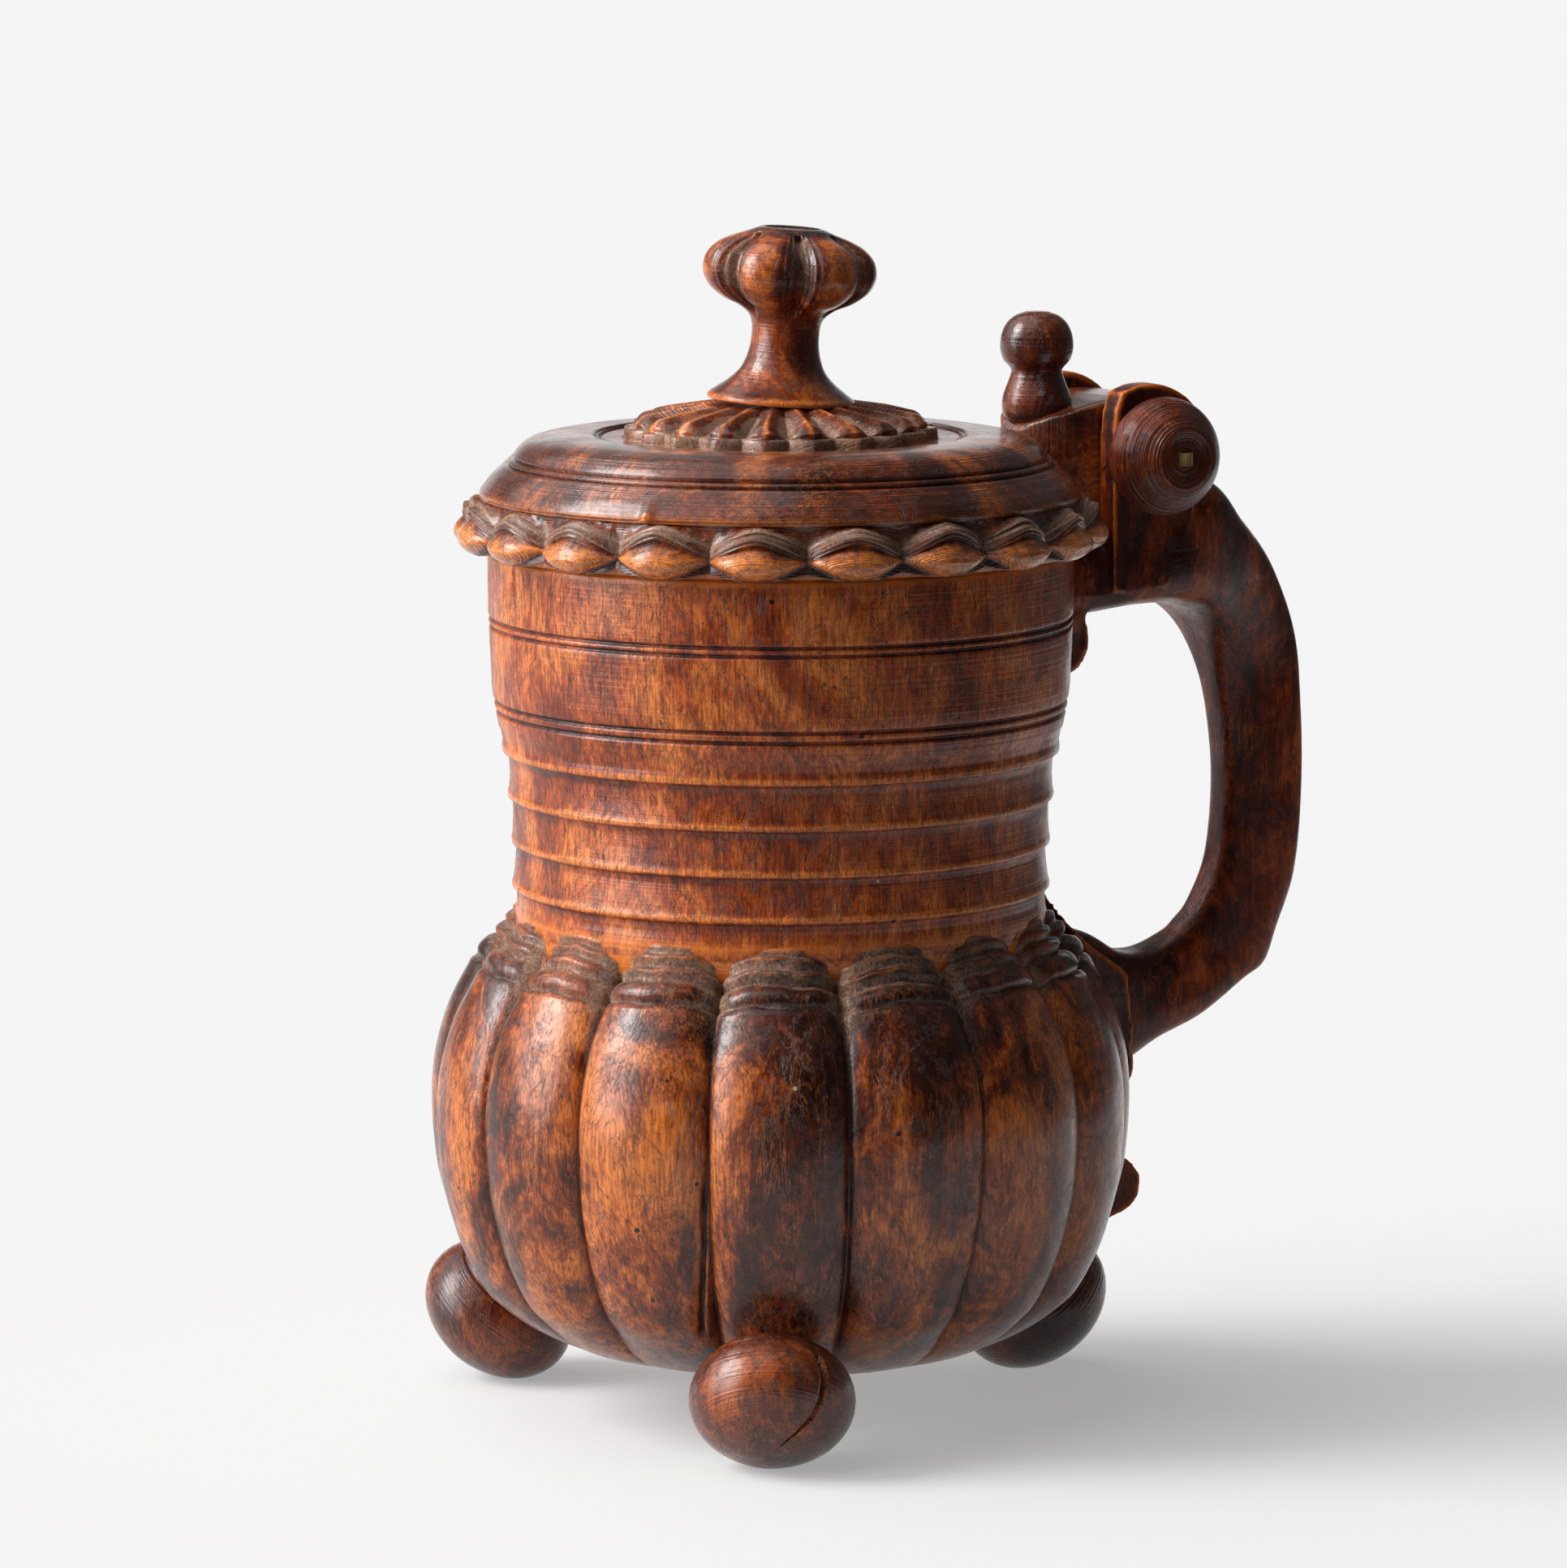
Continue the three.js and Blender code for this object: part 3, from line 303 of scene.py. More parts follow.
def make_belly(material):
    """Crown line moved along its normal by minus the carving, over the angles of the lobes. The flat
    base closes it below; above, a lip turns in to the hollow, which ends in a pole on its floor."""
    line, normal = belly_lines()
    angle = lobe_columns(34)[None, :]
    height = line[:, 1:2]
    ribs = rib_depth(angle, height)
    split = 1.4 * crack(angle, height, BELLY_CRACK, BELLY_CRACK_RADIUS, 0.38)
    depth = lobe_depth(angle, height) + ribs + BELLY_PLAY + wobble(angle, height, 4, 0.16) + split
    radius = line[:, 0:1] - normal[:, 0:1] * depth
    raised = height - normal[:, 1:2] * depth
    radius = np.where(height > 80, np.maximum(radius, NECK_SEAT), radius)
    base = np.array([8.0, 18, 26, 33])[:, None] + 0 * angle
    inside = np.array(BELLY_INSIDE)
    sunk = np.minimum(0, raised[-1] - line[-1, 1])
    lip = np.arange(len(inside))[:, None] < 2
    inside_height = inside[:, 1:2] + sunk[None, :] * lip
    rings = np.concatenate([
        ring_points(base, angle, BASE_HEIGHT + 0 * base),
        ring_points(radius, angle, raised),
        ring_points(inside[:, 0:1], angle, inside_height),
    ])

    away = from_crown(angle, LOBES)
    ribs = np.clip(ribs / 1.1, 0, 1)
    groove_dust = 0.35 * smoothstep(height, 62, 90) * smoothstep(away, 0.7, 1)
    shoulder_dust = 0.55 * smoothstep(height, 84, 92) * smoothstep(away, 0.6, 0.95)
    waist_dust = 0.3 * smoothstep(away, 0.9, 1) * smoothstep(height, 30, 60)
    dust = np.clip(groove_dust + shoulder_dust + 0.75 * ribs + waist_dust, 0, 1)
    # Over the ribs the wood is darker in colour, and more so in the coves, partly as painted shade; the
    # groove bottoms are darkened as painted shade; the crack is a dark line.
    dark = 0.5 * smoothstep(height, 88.4, 89.6) * smoothstep(-ribs, -0.9, -0.5)
    dark = dark + 0.5 * smoothstep(away, 0.93, 1) + 0.4 * smoothstep(ribs, 0.5, 0.9)
    dark = dark + crack(angle, height, BELLY_CRACK, BELLY_CRACK_RADIUS, 0.5)

    def over_all(shell, below, within):
        """Values of the outer shell, with one value for the base and one for the hollow."""
        parts = [below + 0 * base, shell + 0 * angle, within + 0 * inside_height]
        return np.append(np.concatenate(parts).ravel(), [below, within])

    values = {
        "along": over_all(height, 0, 60),
        "carved": over_all(dust, 0, 0),
        "polish_and_shade": over_all(-dark, 0, 0),
    }
    shape = skin(rings, (0, 0, BASE_HEIGHT), (0, 0, FLOOR_TOP))
    add_piece("vessel_belly", shape, material, TANKARD, ["vessel"], values)


NECK_OUTSIDE = [
    (51.9, 90), (52.2, 97), (52.45, 99.3), (52.15, 102), (52.25, 103.7), (53.1, 104.5), (53.15, 105),
    (52.75, 106.2), (52.4, 109.4), (52.2, 111.8), (52.4, 112.8), (53.1, 113.2), (53.2, 113.8),
    (52.95, 115), (52.8, 118), (52.85, 120.7), (53.05, 121.8), (53.8, 122.3), (53.9, 122.9),
    (53.6, 124.2), (53.45, 126.7), (53.6, 129.7), (54.1, 130.8), (54.95, 131.4), (55, 132.4),
    (54.85, 133.6), (55.2, 135.4), (55.7, 136.6), (55.95, 137.9), (56.1, 138.5), (56.65, 141.5),
    (57, 144.5), (57.4, 154), (57.65, 159), (57.65, 170.1), (57.4, 170.8), (56.9, 171),
]
NECK_INSIDE = [
    (51.9, 171), (51.3, 170.7), (51.1, 170), (50.7, 145), (49.2, 130), (47.6, 114), (46.2, 101), (48.4, 93),
    (50.9, 90),
]
BAND_GROOVES = (139.5, 141.5, 156.3, 157.9)
STEP_FEET = (104.2, 113.0, 122.1, 131.1)
RIM_CRACK = [(161, 175.8), (163.5, 175.9), (167, 176.1), (173, 175.9), (175, 175.9)]


def neck_heights():
    """Heights of the rows: close together in the lines, wider apart on the plain bands."""
    near = [g + np.linspace(-0.8, 0.8, 11) for g in BAND_GROOVES]
    plain = [np.arange(101, 137.5, 0.6), np.arange(143, 155.4, 1.7), np.arange(159, 170, 1.7)]
    exact = [p[1] for p in NECK_OUTSIDE]
    heights = np.unique(np.round(np.concatenate([*near, *plain, exact]), 2))
    keep = np.concatenate([[True], np.diff(heights) > 0.12])
    return heights[keep]


def neck_radius(height):
    """The outer profile, with the turned lines cut into it 0.62 mm deep."""
    radius = np.interp(height, [p[1] for p in NECK_OUTSIDE], [p[0] for p in NECK_OUTSIDE])
    for groove in BAND_GROOVES:
        radius = radius - 0.62 * np.exp(-np.abs((height - groove) / 0.42) ** 2.2)
    return radius


def make_neck(material):
    """A turned tube: the outer profile, the rim and the inside, a little out of round by hand. The
    turned lines are darkened as painted shade, the crack is dark, and a light edge runs above the
    foot of each step, with painted shade just below the foot."""
    angle = (np.arange(600) * 2 * math.pi / 600)[None, :]
    height = neck_heights()[:, None]
    uneven = wobble(angle, height, 9, 0.16)
    split = crack(angle, height, RIM_CRACK, 57.6, 0.65)
    outside = ring_points(neck_radius(height) + uneven - 0.05 - 1.4 * split, angle, height)
    inside = np.array(NECK_INSIDE)
    rings = np.concatenate([outside, ring_points(inside[:, 0:1], angle, inside[:, 1:2])])
    along = np.concatenate([height + 0 * angle, inside[:, 1:2] + 0 * angle])
    gap = np.min([np.abs(along - groove) for groove in BAND_GROOVES], axis=0)
    # Painted shade in the turned lines, and the crack's dark line.
    dark = smoothstep(-gap, -0.55, -0.2) + np.concatenate([split, 0 * inside[:, 1:2] + 0 * angle])
    above = along - np.array(STEP_FEET)[:, None, None]
    edges = peak(above - 0.8, 0.5).max(axis=0)
    # Painted shade just below the foot of each step, under its overhang.
    coves = peak(above + 0.7, 0.9).max(axis=0)
    values = {"along": along, "polish_and_shade": 1.5 * edges - 0.4 * coves - 1.1 * np.clip(dark, 0, 1)}
    add_piece("vessel_neck", skin(rings, tube=True), material, TANKARD, ["vessel"], values)


SHELL_LINE, SHELL_NORMAL = belly_lines()


def push_out(points):
    """Moves points that lie in the wall of the vessel, or within GAP of it, out along the nearest
    normal of its outline, lobes and all."""
    radius = np.hypot(points[:, 0], points[:, 1])
    angle = np.arctan2(points[:, 1], points[:, 0])
    flat = np.stack([radius, points[:, 2]], axis=1)
    best = np.full(len(points), 1e9)
    nearest = np.zeros(len(points), int)
    for k, (line_radius, line_height) in enumerate(SHELL_LINE):
        distance = np.hypot(flat[:, 0] - line_radius, flat[:, 1] - line_height)
        closer = distance < best
        best[closer] = distance[closer]
        nearest[closer] = k
    normal = SHELL_NORMAL[nearest]
    out = np.einsum("ij,ij->i", flat - SHELL_LINE[nearest], normal)
    surface = -lobe_depth(angle, SHELL_LINE[nearest, 1]) - rib_depth(angle, SHELL_LINE[nearest, 1])
    need = surface + GAP - out
    use = (need > 0) & (flat[:, 1] < 99) & (flat[:, 1] > BASE_HEIGHT) & (flat[:, 0] > 36)
    flat[use] += normal[use] * need[use, None]
    neck = flat[:, 1] >= 96
    flat[neck, 0] = np.maximum(flat[neck, 0], neck_radius(flat[neck, 1]) + GAP)
    moved = points.copy()
    scale = flat[:, 0] / np.maximum(radius, 1e-6)
    moved[:, 0] *= scale
    moved[:, 1] *= scale
    moved[:, 2] = flat[:, 1]
    return moved


# Ball feet

FOOT_LEAN = 39 * DEG
FOOT_CIRCLE = 62.35
FOOT_ANGLES = (5, 126, -121.5)
FOOT_CRACK = [
    (-1.5, 20), (-1.04, 36.2), (-0.74, 41.7), (-0.44, 42.1), (-0.13, 40.4), (0.13, 37.4), (0.5, 33),
]
FOOT_RADIUS = 16.0
FOOT_HALF_HEIGHT = 12.15
FOOT_CENTRE = math.hypot(16.1 * math.sin(FOOT_LEAN), 12.2 * math.cos(FOOT_LEAN)) - 0.35
FOOT_COLUMNS = 220
CRACKED_FOOT = 3


def make_foot(index, material):
    """A turned oblate ball: radius 16 cos t, height 12.15 sin t on its leaning axis, with fine
    turning steps and two shoulder lines. Where the vessel is, it is scribed to its surface, and
    where the table is, it is worn flat."""
    turn = np.linspace(-math.pi / 2, math.pi / 2, 98)[1:-1, None]
    angle = (np.arange(FOOT_COLUMNS) * 2 * math.pi / FOOT_COLUMNS)[None, :]
    marks = 0.05 * np.sin(turn * 75) * smoothstep(turn, -0.25, -0.1) * smoothstep(-turn, -0.75, -0.5)
    steps = -0.5 * peak(turn - 0.62, 0.03) - 0.4 * peak(turn - 0.86, 0.03)
    split = 1.7 * crack(angle, turn, FOOT_CRACK, 15, 0.42) * (index == CRACKED_FOOT)
    size = 1 + (marks + steps - split + wobble(angle, turn * 30, 20 + index, 0.12)) / 15
    radius = FOOT_RADIUS * size * np.cos(turn)
    rings = ring_points(radius, angle, FOOT_HALF_HEIGHT * size * np.sin(turn))
    points, faces = skin(rings, (0, 0, -FOOT_HALF_HEIGHT), (0, 0, FOOT_HALF_HEIGHT))
    lean_cos, lean_sin = math.cos(FOOT_LEAN), math.sin(FOOT_LEAN)
    x = points[:, 0] * lean_cos - points[:, 2] * lean_sin + FOOT_CIRCLE
    y = points[:, 1]
    z = points[:, 0] * lean_sin + points[:, 2] * lean_cos + FOOT_CENTRE
    around = FOOT_ANGLES[index - 1] * DEG
    cos, sin = math.cos(around), math.sin(around)
    points = np.stack([x * cos - y * sin, x * sin + y * cos, np.maximum(z, 0.02)], 1)
    values = {"along": np.append(np.repeat(turn * 14, FOOT_COLUMNS, axis=1).ravel(), [-22, 22])}
    shape = push_out(points), faces
    add_piece(f"foot_{index}", shape, material, TANKARD, [f"ball_foot_{index}"], values)


# Lid

LID_COLUMNS = 600
BEADS = 20
BEAD_PHASE = 1.8 * DEG
LID_HOLLOW_TOP = 183
LID_TOP = 199.7
LID_HOLLOW = [
    (12, 183), (24, 182.6), (32, 181.6), (38, 179), (42, 175), (43.1, 171), (43.1, 168.9), (43.5, 168.6),
]
LID_REGISTER = [
    (46.5, 168.6), (49.7, 168.6), (50.1, 169), (50.1, 171.1), (50.4, 171.3), (55, 171.3), (59.6, 171.3),
]
LID_DOME = [
    (59.1, 181.5), (59.35, 181.9), (59.0, 182.6), (58.4, 183.4), (57.1, 185.2), (55.9, 186.4),
    (54.6, 187.6), (53.5, 188.6), (52.4, 189.7), (51.2, 191.2), (49.6, 192.3), (46, 193.2), (42, 193.55),
    (38, 193.6), (36.6, 193.55), (35.7, 193.4), (34.6, 193.0), (33, 192.85), (31.2, 192.8),
]
DOME_GROOVES = ((54.0, 188.15, 1.0), (52.75, 189.35, 1.0), (36.3, 193.5, 0.7), (35.3, 193.3, 0.7))


def bead_rows(angle):
    """Rows of the bead ring: radius, height, dust, and a value that is high on the polished lens and
    below 0 as painted shade under it. Each bead is an almond, with w from 0 on its middle to 1 in the
    valley and t from 0 on its lower edge to 1 on its upper one. Its polished belly is a lens whose
    lower edge is at t = 0.42 w^2.2 and whose upper edge is at t = 0.79 - 0.22 w^2; across it the
    radius swells by sin(pi s^0.85)^0.65, with s from 0 to 1 between these edges. Two terraces lie
    above it, each set back by a step."""
    away = from_crown(angle, BEADS, BEAD_PHASE)
    bead = np.round((angle - BEAD_PHASE) * BEADS / (2 * math.pi))
    tilt = 0.3 * np.sin(2.1 * bead + 1) + 0.15 * np.sin(11 * angle)
    low = 171.05 + 1.5 * away**2 + 0.2 * tilt * (1 - away)
    high = 181.2 - 4.2 * away**1.5 + 0.5 * tilt * (1 - away)
    t = np.concatenate([np.linspace(0, 0.5, 16), np.linspace(0.53, 1, 26)])[:, None]
    drift = 0.02 * np.sin(7 * angle + 0.4) + 0.015 * np.sin(13 * angle + 2)
    lens_low = 0.42 * away**2.2
    lens_high = 0.79 - 0.22 * away**2 + drift
    s = np.clip((t - lens_low) / (lens_high - lens_low), 0, 1)
    full = np.maximum(1 - away**2.4, 0) ** 0.85
    lens = (0.2 + 4.8 * full) * np.sin(math.pi * (0.02 + 0.97 * s) ** 0.85) ** 0.65
    first, second = lens_high - 0.03, 0.9 + drift
    terrace = 3.7 - 1.1 * smoothstep(t, second - 0.02, second + 0.02) - 0.9 * smoothstep(t, 0.93, 1)
    terrace = terrace * full * smoothstep(t, first - 0.2, first)
    cuts = 0.45 * peak(t - lens_high - 0.01, 0.022) + 0.4 * peak(t - second - 0.03, 0.025)
    radius = 59.95 - 1.2 * t + np.maximum(lens, terrace) - cuts * (0.3 + 0.7 * full)
    height = low + (high - low) * t
    dust = peak(t - lens_high - 0.04, 0.045) + peak(t - second - 0.06, 0.05)
    dust = dust * (0.5 + 0.5 * full) + 0.7 * smoothstep(away, 0.8, 1) * smoothstep(t, 0.4, 0.7)
    dust = dust + 0.45 * smoothstep(t, lens_high, lens_high + 0.05)
    polish_and_shade = 1.7 * smoothstep(s, 0.0, 0.12) * smoothstep(-s, -1.0, -0.2) * smoothstep(-away, -1.0, -0.9)
    # Below the lens, towards the valleys, the bead is darkened as painted shade.
    under_lens = 1 - smoothstep(t, lens_low - 0.02, lens_low + 0.02)
    polish_and_shade = polish_and_shade - 0.8 * under_lens * smoothstep(away, 0.3, 0.7)
    return radius, height, np.clip(dust, 0, 1), polish_and_shade


def dome_rows():
    """The dome's profile with its turned grooves cut in along its normal."""
    line = spline(LID_DOME, 0.1)
    gap = np.min([np.hypot(line[:, 0] - g[0], line[:, 1] - g[1]) for g in DOME_GROOVES], axis=0)
    step = np.where(gap < 0.7, 0.16, 1.3)
    travel = np.concatenate([[0], np.cumsum(0.1 / step[1:])])
    at = np.arange(0, travel[-1], 1.0)
    line = np.stack([np.interp(at, travel, line[:, k]) for k in range(2)], axis=1)
    tangent = np.gradient(line, axis=0)
    tangent /= np.linalg.norm(tangent, axis=1)[:, None]
    normal = np.stack([tangent[:, 1], -tangent[:, 0]], axis=1)
    depth = np.zeros(len(line))
    for radius, height, deep in DOME_GROOVES:
        gap = np.hypot(line[:, 0] - radius, line[:, 1] - height)
        depth += deep * peak(gap, 0.3)
    return line - normal * depth[:, None]


STAR_FOOT = 192.8
STAR_TOP = 195.0
ROSETTE_CREST = [(13, 199.75), (15, 199.7), (24, 198.3), (27, 197.6), (28, 196.9), (28.7, 195.9)]


def rosette_rows(angle):
    """A low star of 20 points, then 20 roof-shaped ridges with hollow flutes between them: the
    height falls from the crest by D(r) w^1.25, D growing from 0 at r 11.5 to 3.3 at r 26.5. Each
    ridge ends in a round nose that overhangs the star."""
    away = from_crown(angle, BEADS)
    star = 31.0 - 2.3 * away**1.3
    rows = [(star, STAR_FOOT + 0 * away)]
    for share in (0.1, 0.5, 0.9):
        rows.append((star - 0.15 * share, STAR_FOOT + 2.1 * share + 0 * away))
    rows.append((star - 0.45, 194.95 + 0 * away))

    def top(radius):
        crest = np.interp(radius, [r for r, _ in ROSETTE_CREST], [h for _, h in ROSETTE_CREST])
        deep = 3.3 * np.clip((radius - 11.5) / 15, 0, 1) ** 0.85
        sharp = away ** (1.25 + 0.9 * smoothstep(radius, 24, 28))
        return np.maximum(crest - deep * sharp, STAR_TOP + 0.05)

    nose = 29.0 - 1.9 * away**1.7
    for share in (0.0, 0.5):
        rows.append((star - 0.5 + (nose - star + 0.4) * share, STAR_TOP + 0 * away))
    for set_back, share in ((0.2, 0), (0, 0.35), (0, 0.7), (0.2, 0.93)):
        rows.append((nose - set_back, STAR_TOP + (top(nose - 0.5) - STAR_TOP) * share))
    for share in np.linspace(0, 1, 30):
        radius = nose - 0.6 + (13 - nose + 0.6) * share
        rows.append((radius, top(radius)))
    rows.append((6 + 0 * away, LID_TOP + 0 * away))
    radius = np.concatenate([r for r, _ in rows])
    height = np.concatenate([h for _, h in rows])
    return radius, height


SHOULDER_TOP = (58.3, 181.5)
WART_ANGLE = 214.4 * DEG
WART_HEIGHT = 183


def wart(angle, height):
    """A small knot that stands 1.1 mm proud of the lid and falls off within about 1.3 mm."""
    return 1.1 * peak((angle - WART_ANGLE) * 57, 1.2) * peak(height - WART_HEIGHT, 1.4)


def make_lid(material):
    """One turned and carved disc, ring by ring: hollow and register, bead ring, the shoulder over it
    with its chisel marks, dome and rosette. zone counts these five from 0."""
    angle = (np.arange(LID_COLUMNS) * 2 * math.pi / LID_COLUMNS)[None, :]
    below = np.array(LID_HOLLOW + LID_REGISTER)
    bead_radius, bead_height, bead_dust, bead_polish_and_shade = bead_rows(angle)
    share = np.array([0.3, 0.6, 0.9])[:, None]
    chisel = 0.13 * np.sin(angle * 141 + 3 * np.sin(angle * 9)) * (share < 0.8)
    shoulder_radius = bead_radius[-1:] + (SHOULDER_TOP[0] - bead_radius[-1:]) * share**0.4 + chisel
    shoulder_height = bead_height[-1:] + (SHOULDER_TOP[1] - bead_height[-1:]) * share
    shoulder_radius = shoulder_radius + wart(angle, shoulder_height)
    dome = dome_rows()
    dome_radius = dome[:, 0:1] + wobble(angle, dome[:, 1:2], 31, 0.12)
    dome_radius = dome_radius + wart(angle, dome[:, 1:2])
    rose_radius, rose_height = rosette_rows(angle)
    parts = [
        ring_points(below[:, 0:1], angle, below[:, 1:2]),
        ring_points(bead_radius, angle, bead_height),
        ring_points(shoulder_radius, angle, shoulder_height),
        ring_points(dome_radius, angle, dome[:, 1:2]),
        ring_points(rose_radius, angle, rose_height),
    ]
    rings = np.concatenate(parts)
    zone = np.concatenate([np.full(p.shape[:2], k) for k, p in enumerate(parts)])
    radius = np.hypot(rings[..., 0], rings[..., 1])
    height = rings[..., 2]
    dome_gap = np.min([np.hypot(radius - g[0], height - g[1]) for g in DOME_GROOVES], axis=0)
    flute = from_crown(angle, BEADS) * smoothstep(radius, 12, 20) * (zone == 4) * (height < 199.3)
    on_bead, on_wall, on_dome, on_rosette = (zone == k for k in (1, 2, 3, 4))
    wall_dust = 0.5 * on_wall * smoothstep(-height, -180.6, -178.5)
    ledge_dust = 0.75 * on_rosette * smoothstep(-height, -195.6, -194.6)
    groove_dust = 0.35 * on_dome * smoothstep(-dome_gap, -0.5, -0.1)
    dust = np.clip(smoothstep(flute, 0.3, 0.8) + wall_dust + ledge_dust + groove_dust, 0, 1)
    dust[on_bead] = bead_dust.ravel()
    crest = on_rosette * smoothstep(-flute, -0.22, -0.05) * smoothstep(radius, 14, 17) * (height > 195.3)
    # The rosette's crests are lighter; the dome's grooves are darkened as painted shade.
    polish_and_shade = 0.8 * crest - 1.6 * on_dome * smoothstep(-dome_gap, -0.5, -0.2)
    polish_and_shade[on_bead] = bead_polish_and_shade.ravel()
    values = {
        "along": np.append((radius - height).ravel(), [0, 0]),
        "carved": np.append(dust.ravel(), [0, 0]),
        "polish_and_shade": np.append(polish_and_shade.ravel(), [0, 0]),
    }
    shape = skin(rings, (0, 0, LID_HOLLOW_TOP), (0, 0, LID_TOP))
    add_piece("lid_disc", shape, material, LID, ["lid"], values)


ARM_OUTLINE = [
    (52.8, 174), (52.8, 190.5), (53.1, 192), (54.2, 193.3), (57, 194.9), (62, 196.4), (67.9, 197.6),
    (72, 198.2), (76, 198.3), (80, 198.1), (83, 197.4), (86, 196.6), (85.6, 193), (84.7, 188), (83.6, 183),
    (81, 179.2), (77, 177.2), (73, 176.7), (69.5, 176.1), (66.8, 175), (65, 173.2), (63.4, 172),
    (60, 171.9), (54, 172.4),
]
ARM_FRONT = 52.8
ARM_HALF = 12.85
ARM_LINE = 10.4


def make_arm(material):
    """The arm's outline in x and z, swept across y. Its front end is round in plan, its long edges
    are eased over 1 mm, and an incised line runs along both edges of its top."""
    outline = subdivided(ARM_OUTLINE + ARM_OUTLINE[:1], 0.7)[:-1]
    turn = np.linspace(0, math.pi / 2, 6)[:-1]
    inner = np.linspace(1 - ARM_HALF, ARM_HALF - 1, 39)
    eased = 1 - ARM_HALF - np.cos(turn)
    y = np.concatenate([eased, inner, -eased[::-1]])
    inset = np.concatenate([1 - np.sin(turn), np.zeros(len(inner)), (1 - np.sin(turn))[::-1]])
    tangent = np.roll(outline, -1, 0) - np.roll(outline, 1, 0)
    tangent /= np.linalg.norm(tangent, axis=1)[:, None]
    inward = np.stack([tangent[:, 1], -tangent[:, 0]], axis=1)
    on_top = ((outline[:, 1] > 193) & (outline[:, 0] < 84)).astype(float)
    line = 0.28 * peak(np.abs(y) - ARM_LINE, 0.3)
    depth = inset[:, None] * 0.8 + line[:, None] * on_top
    rows = outline[None] + inward[None] * depth[..., None]
    front = ARM_FRONT + ARM_HALF - np.sqrt(np.maximum(ARM_HALF**2 - y**2, 0))
    x = np.maximum(rows[..., 0], front[:, None])
    rings = np.stack([x, y[:, None] + 0 * x, rows[..., 1]], axis=-1)[::-1, ::-1]
    points, faces = skin(rings)
    add_piece("lid_arm", (points, faces), material, LID, ["lid"], {"along": points[:, 1]})


# Finial, thumbpiece, knobs and pin

FINIAL = [
    (14.2, 0.1), (14.65, 0.35), (14.5, 1.0), (12.9, 2.2), (10.4, 4.1), (8.4, 6.3), (7.4, 8.6), (6.85, 11),
    (6.7, 13.8), (6.9, 15.6), (7.6, 17), (9.6, 18.5), (13, 20.0), (16.0, 22.4), (17.2, 25.2), (16.7, 28.3),
    (14.7, 30.6), (11.6, 32.2), (8.6, 33.2), (6.6, 34.0), (5.9, 34.2), (5.3, 33.9), (2.5, 33.7),
]
FINIAL_SEAT = 199.8
FINIAL_LEAN = 4 * DEG
FINIAL_LEAN_ANGLE = -30 * DEG
FINIAL_PHASE = -21.5 * DEG


def make_finial(material):
    """A turned profile; the head is six balls round the axis: at angle a from a ball's middle the
    surface lies at 9.6 cos a + sqrt(7.3^2 - (9.6 sin a)^2), with fine flutes in the valleys between
    them and a dark disc on top. The axis leans."""
    line = spline(FINIAL, 0.42)
    angle = (np.arange(420) * 2 * math.pi / 420)[None, :]
    height = line[:, 1:2]
    valley = from_crown(angle, 6, FINIAL_PHASE)
    away = valley * math.pi / 6
    surface = 9.6 * np.cos(away) + np.sqrt(7.3**2 - (9.6 * np.sin(away)) ** 2)
    head = smoothstep(height, 16.6, 20) * smoothstep(-height, -33.6, -32.2)
    radius = line[:, 0:1] * (1 - head * (1 - surface / 16.9))
    groove = smoothstep(height, 28.5, 30.5) * smoothstep(-height, -33.2, -31.8)
    cleft = smoothstep(valley, 0.36, 1)
    flutes = smoothstep(valley, 0.4, 0.65) * np.cos(angle * 66)
    radius = radius - head * (1.6 * cleft**2 + 0.24 * flutes) - groove * 0.8 * cleft
    radius = radius + wobble(angle, height, 41, 0.1) - 0.05
    points, faces = skin(ring_points(radius, angle, height), (0, 0, 0.1), (0, 0, 33.7))
    dust = 0.85 * head * smoothstep(valley, 0.45, 0.85) * smoothstep(height, 19, 25)
    polish_and_darkening = 0.9 * head * smoothstep(-valley, -0.6, -0.2) + 0.9 * smoothstep(-height, -1.9, -1.2)
    polish_and_darkening = polish_and_darkening - 0.9 * smoothstep(height, 32.6, 33.4)
    values = {
        "along": np.append((height + 0 * angle).ravel(), [0, 34]),
        "carved": np.append(dust.ravel(), [0, 0]),
        "polish_and_shade": np.append(polish_and_darkening.ravel(), [0, 0]),
    }
    axis = Vector((-math.sin(FINIAL_LEAN_ANGLE), math.cos(FINIAL_LEAN_ANGLE), 0))
    turn = np.array(Matrix.Rotation(FINIAL_LEAN, 3, axis))
    points = points @ turn.T + np.array([0, 0, FINIAL_SEAT])
    add_piece("lid_finial", (points, faces), material, LID, ["finial"], values)


THUMB = [
    (4.6, -0.9), (5.9, -0.6), (6.7, 0.5), (6.95, 2.2), (6.8, 3.8), (6.2, 5.6), (5.5, 7.4), (5.1, 8.7),
    (5.05, 9.3), (5.5, 10.0), (6.6, 11.2), (7.2, 13.0), (7.3, 14.3), (7.0, 16.5), (6.0, 18.6), (4.3, 20.1),
    (2.2, 20.9),
]
THUMB_REACH = 59
THUMB_SEAT = 194.25


def make_thumb(material):
    """A turned ball on a baluster."""
    line = spline(THUMB, 0.4)
    angle = (np.arange(144) * 2 * math.pi / 144)[None, :]
    radius = line[:, 0:1] + wobble(angle, line[:, 1:2], 51, 0.08)
    rings = ring_points(radius, angle, line[:, 1:2] + THUMB_SEAT)
    points, faces = skin(rings, (0, 0, THUMB_SEAT - 0.9), (0, 0, THUMB_SEAT + 21))
    points[:, 0] += THUMB_REACH
    values = {"along": points[:, 2] - THUMB_SEAT}
    add_piece("lid_thumbpiece", (points, faces), material, LID, ["thumbpiece"], values)


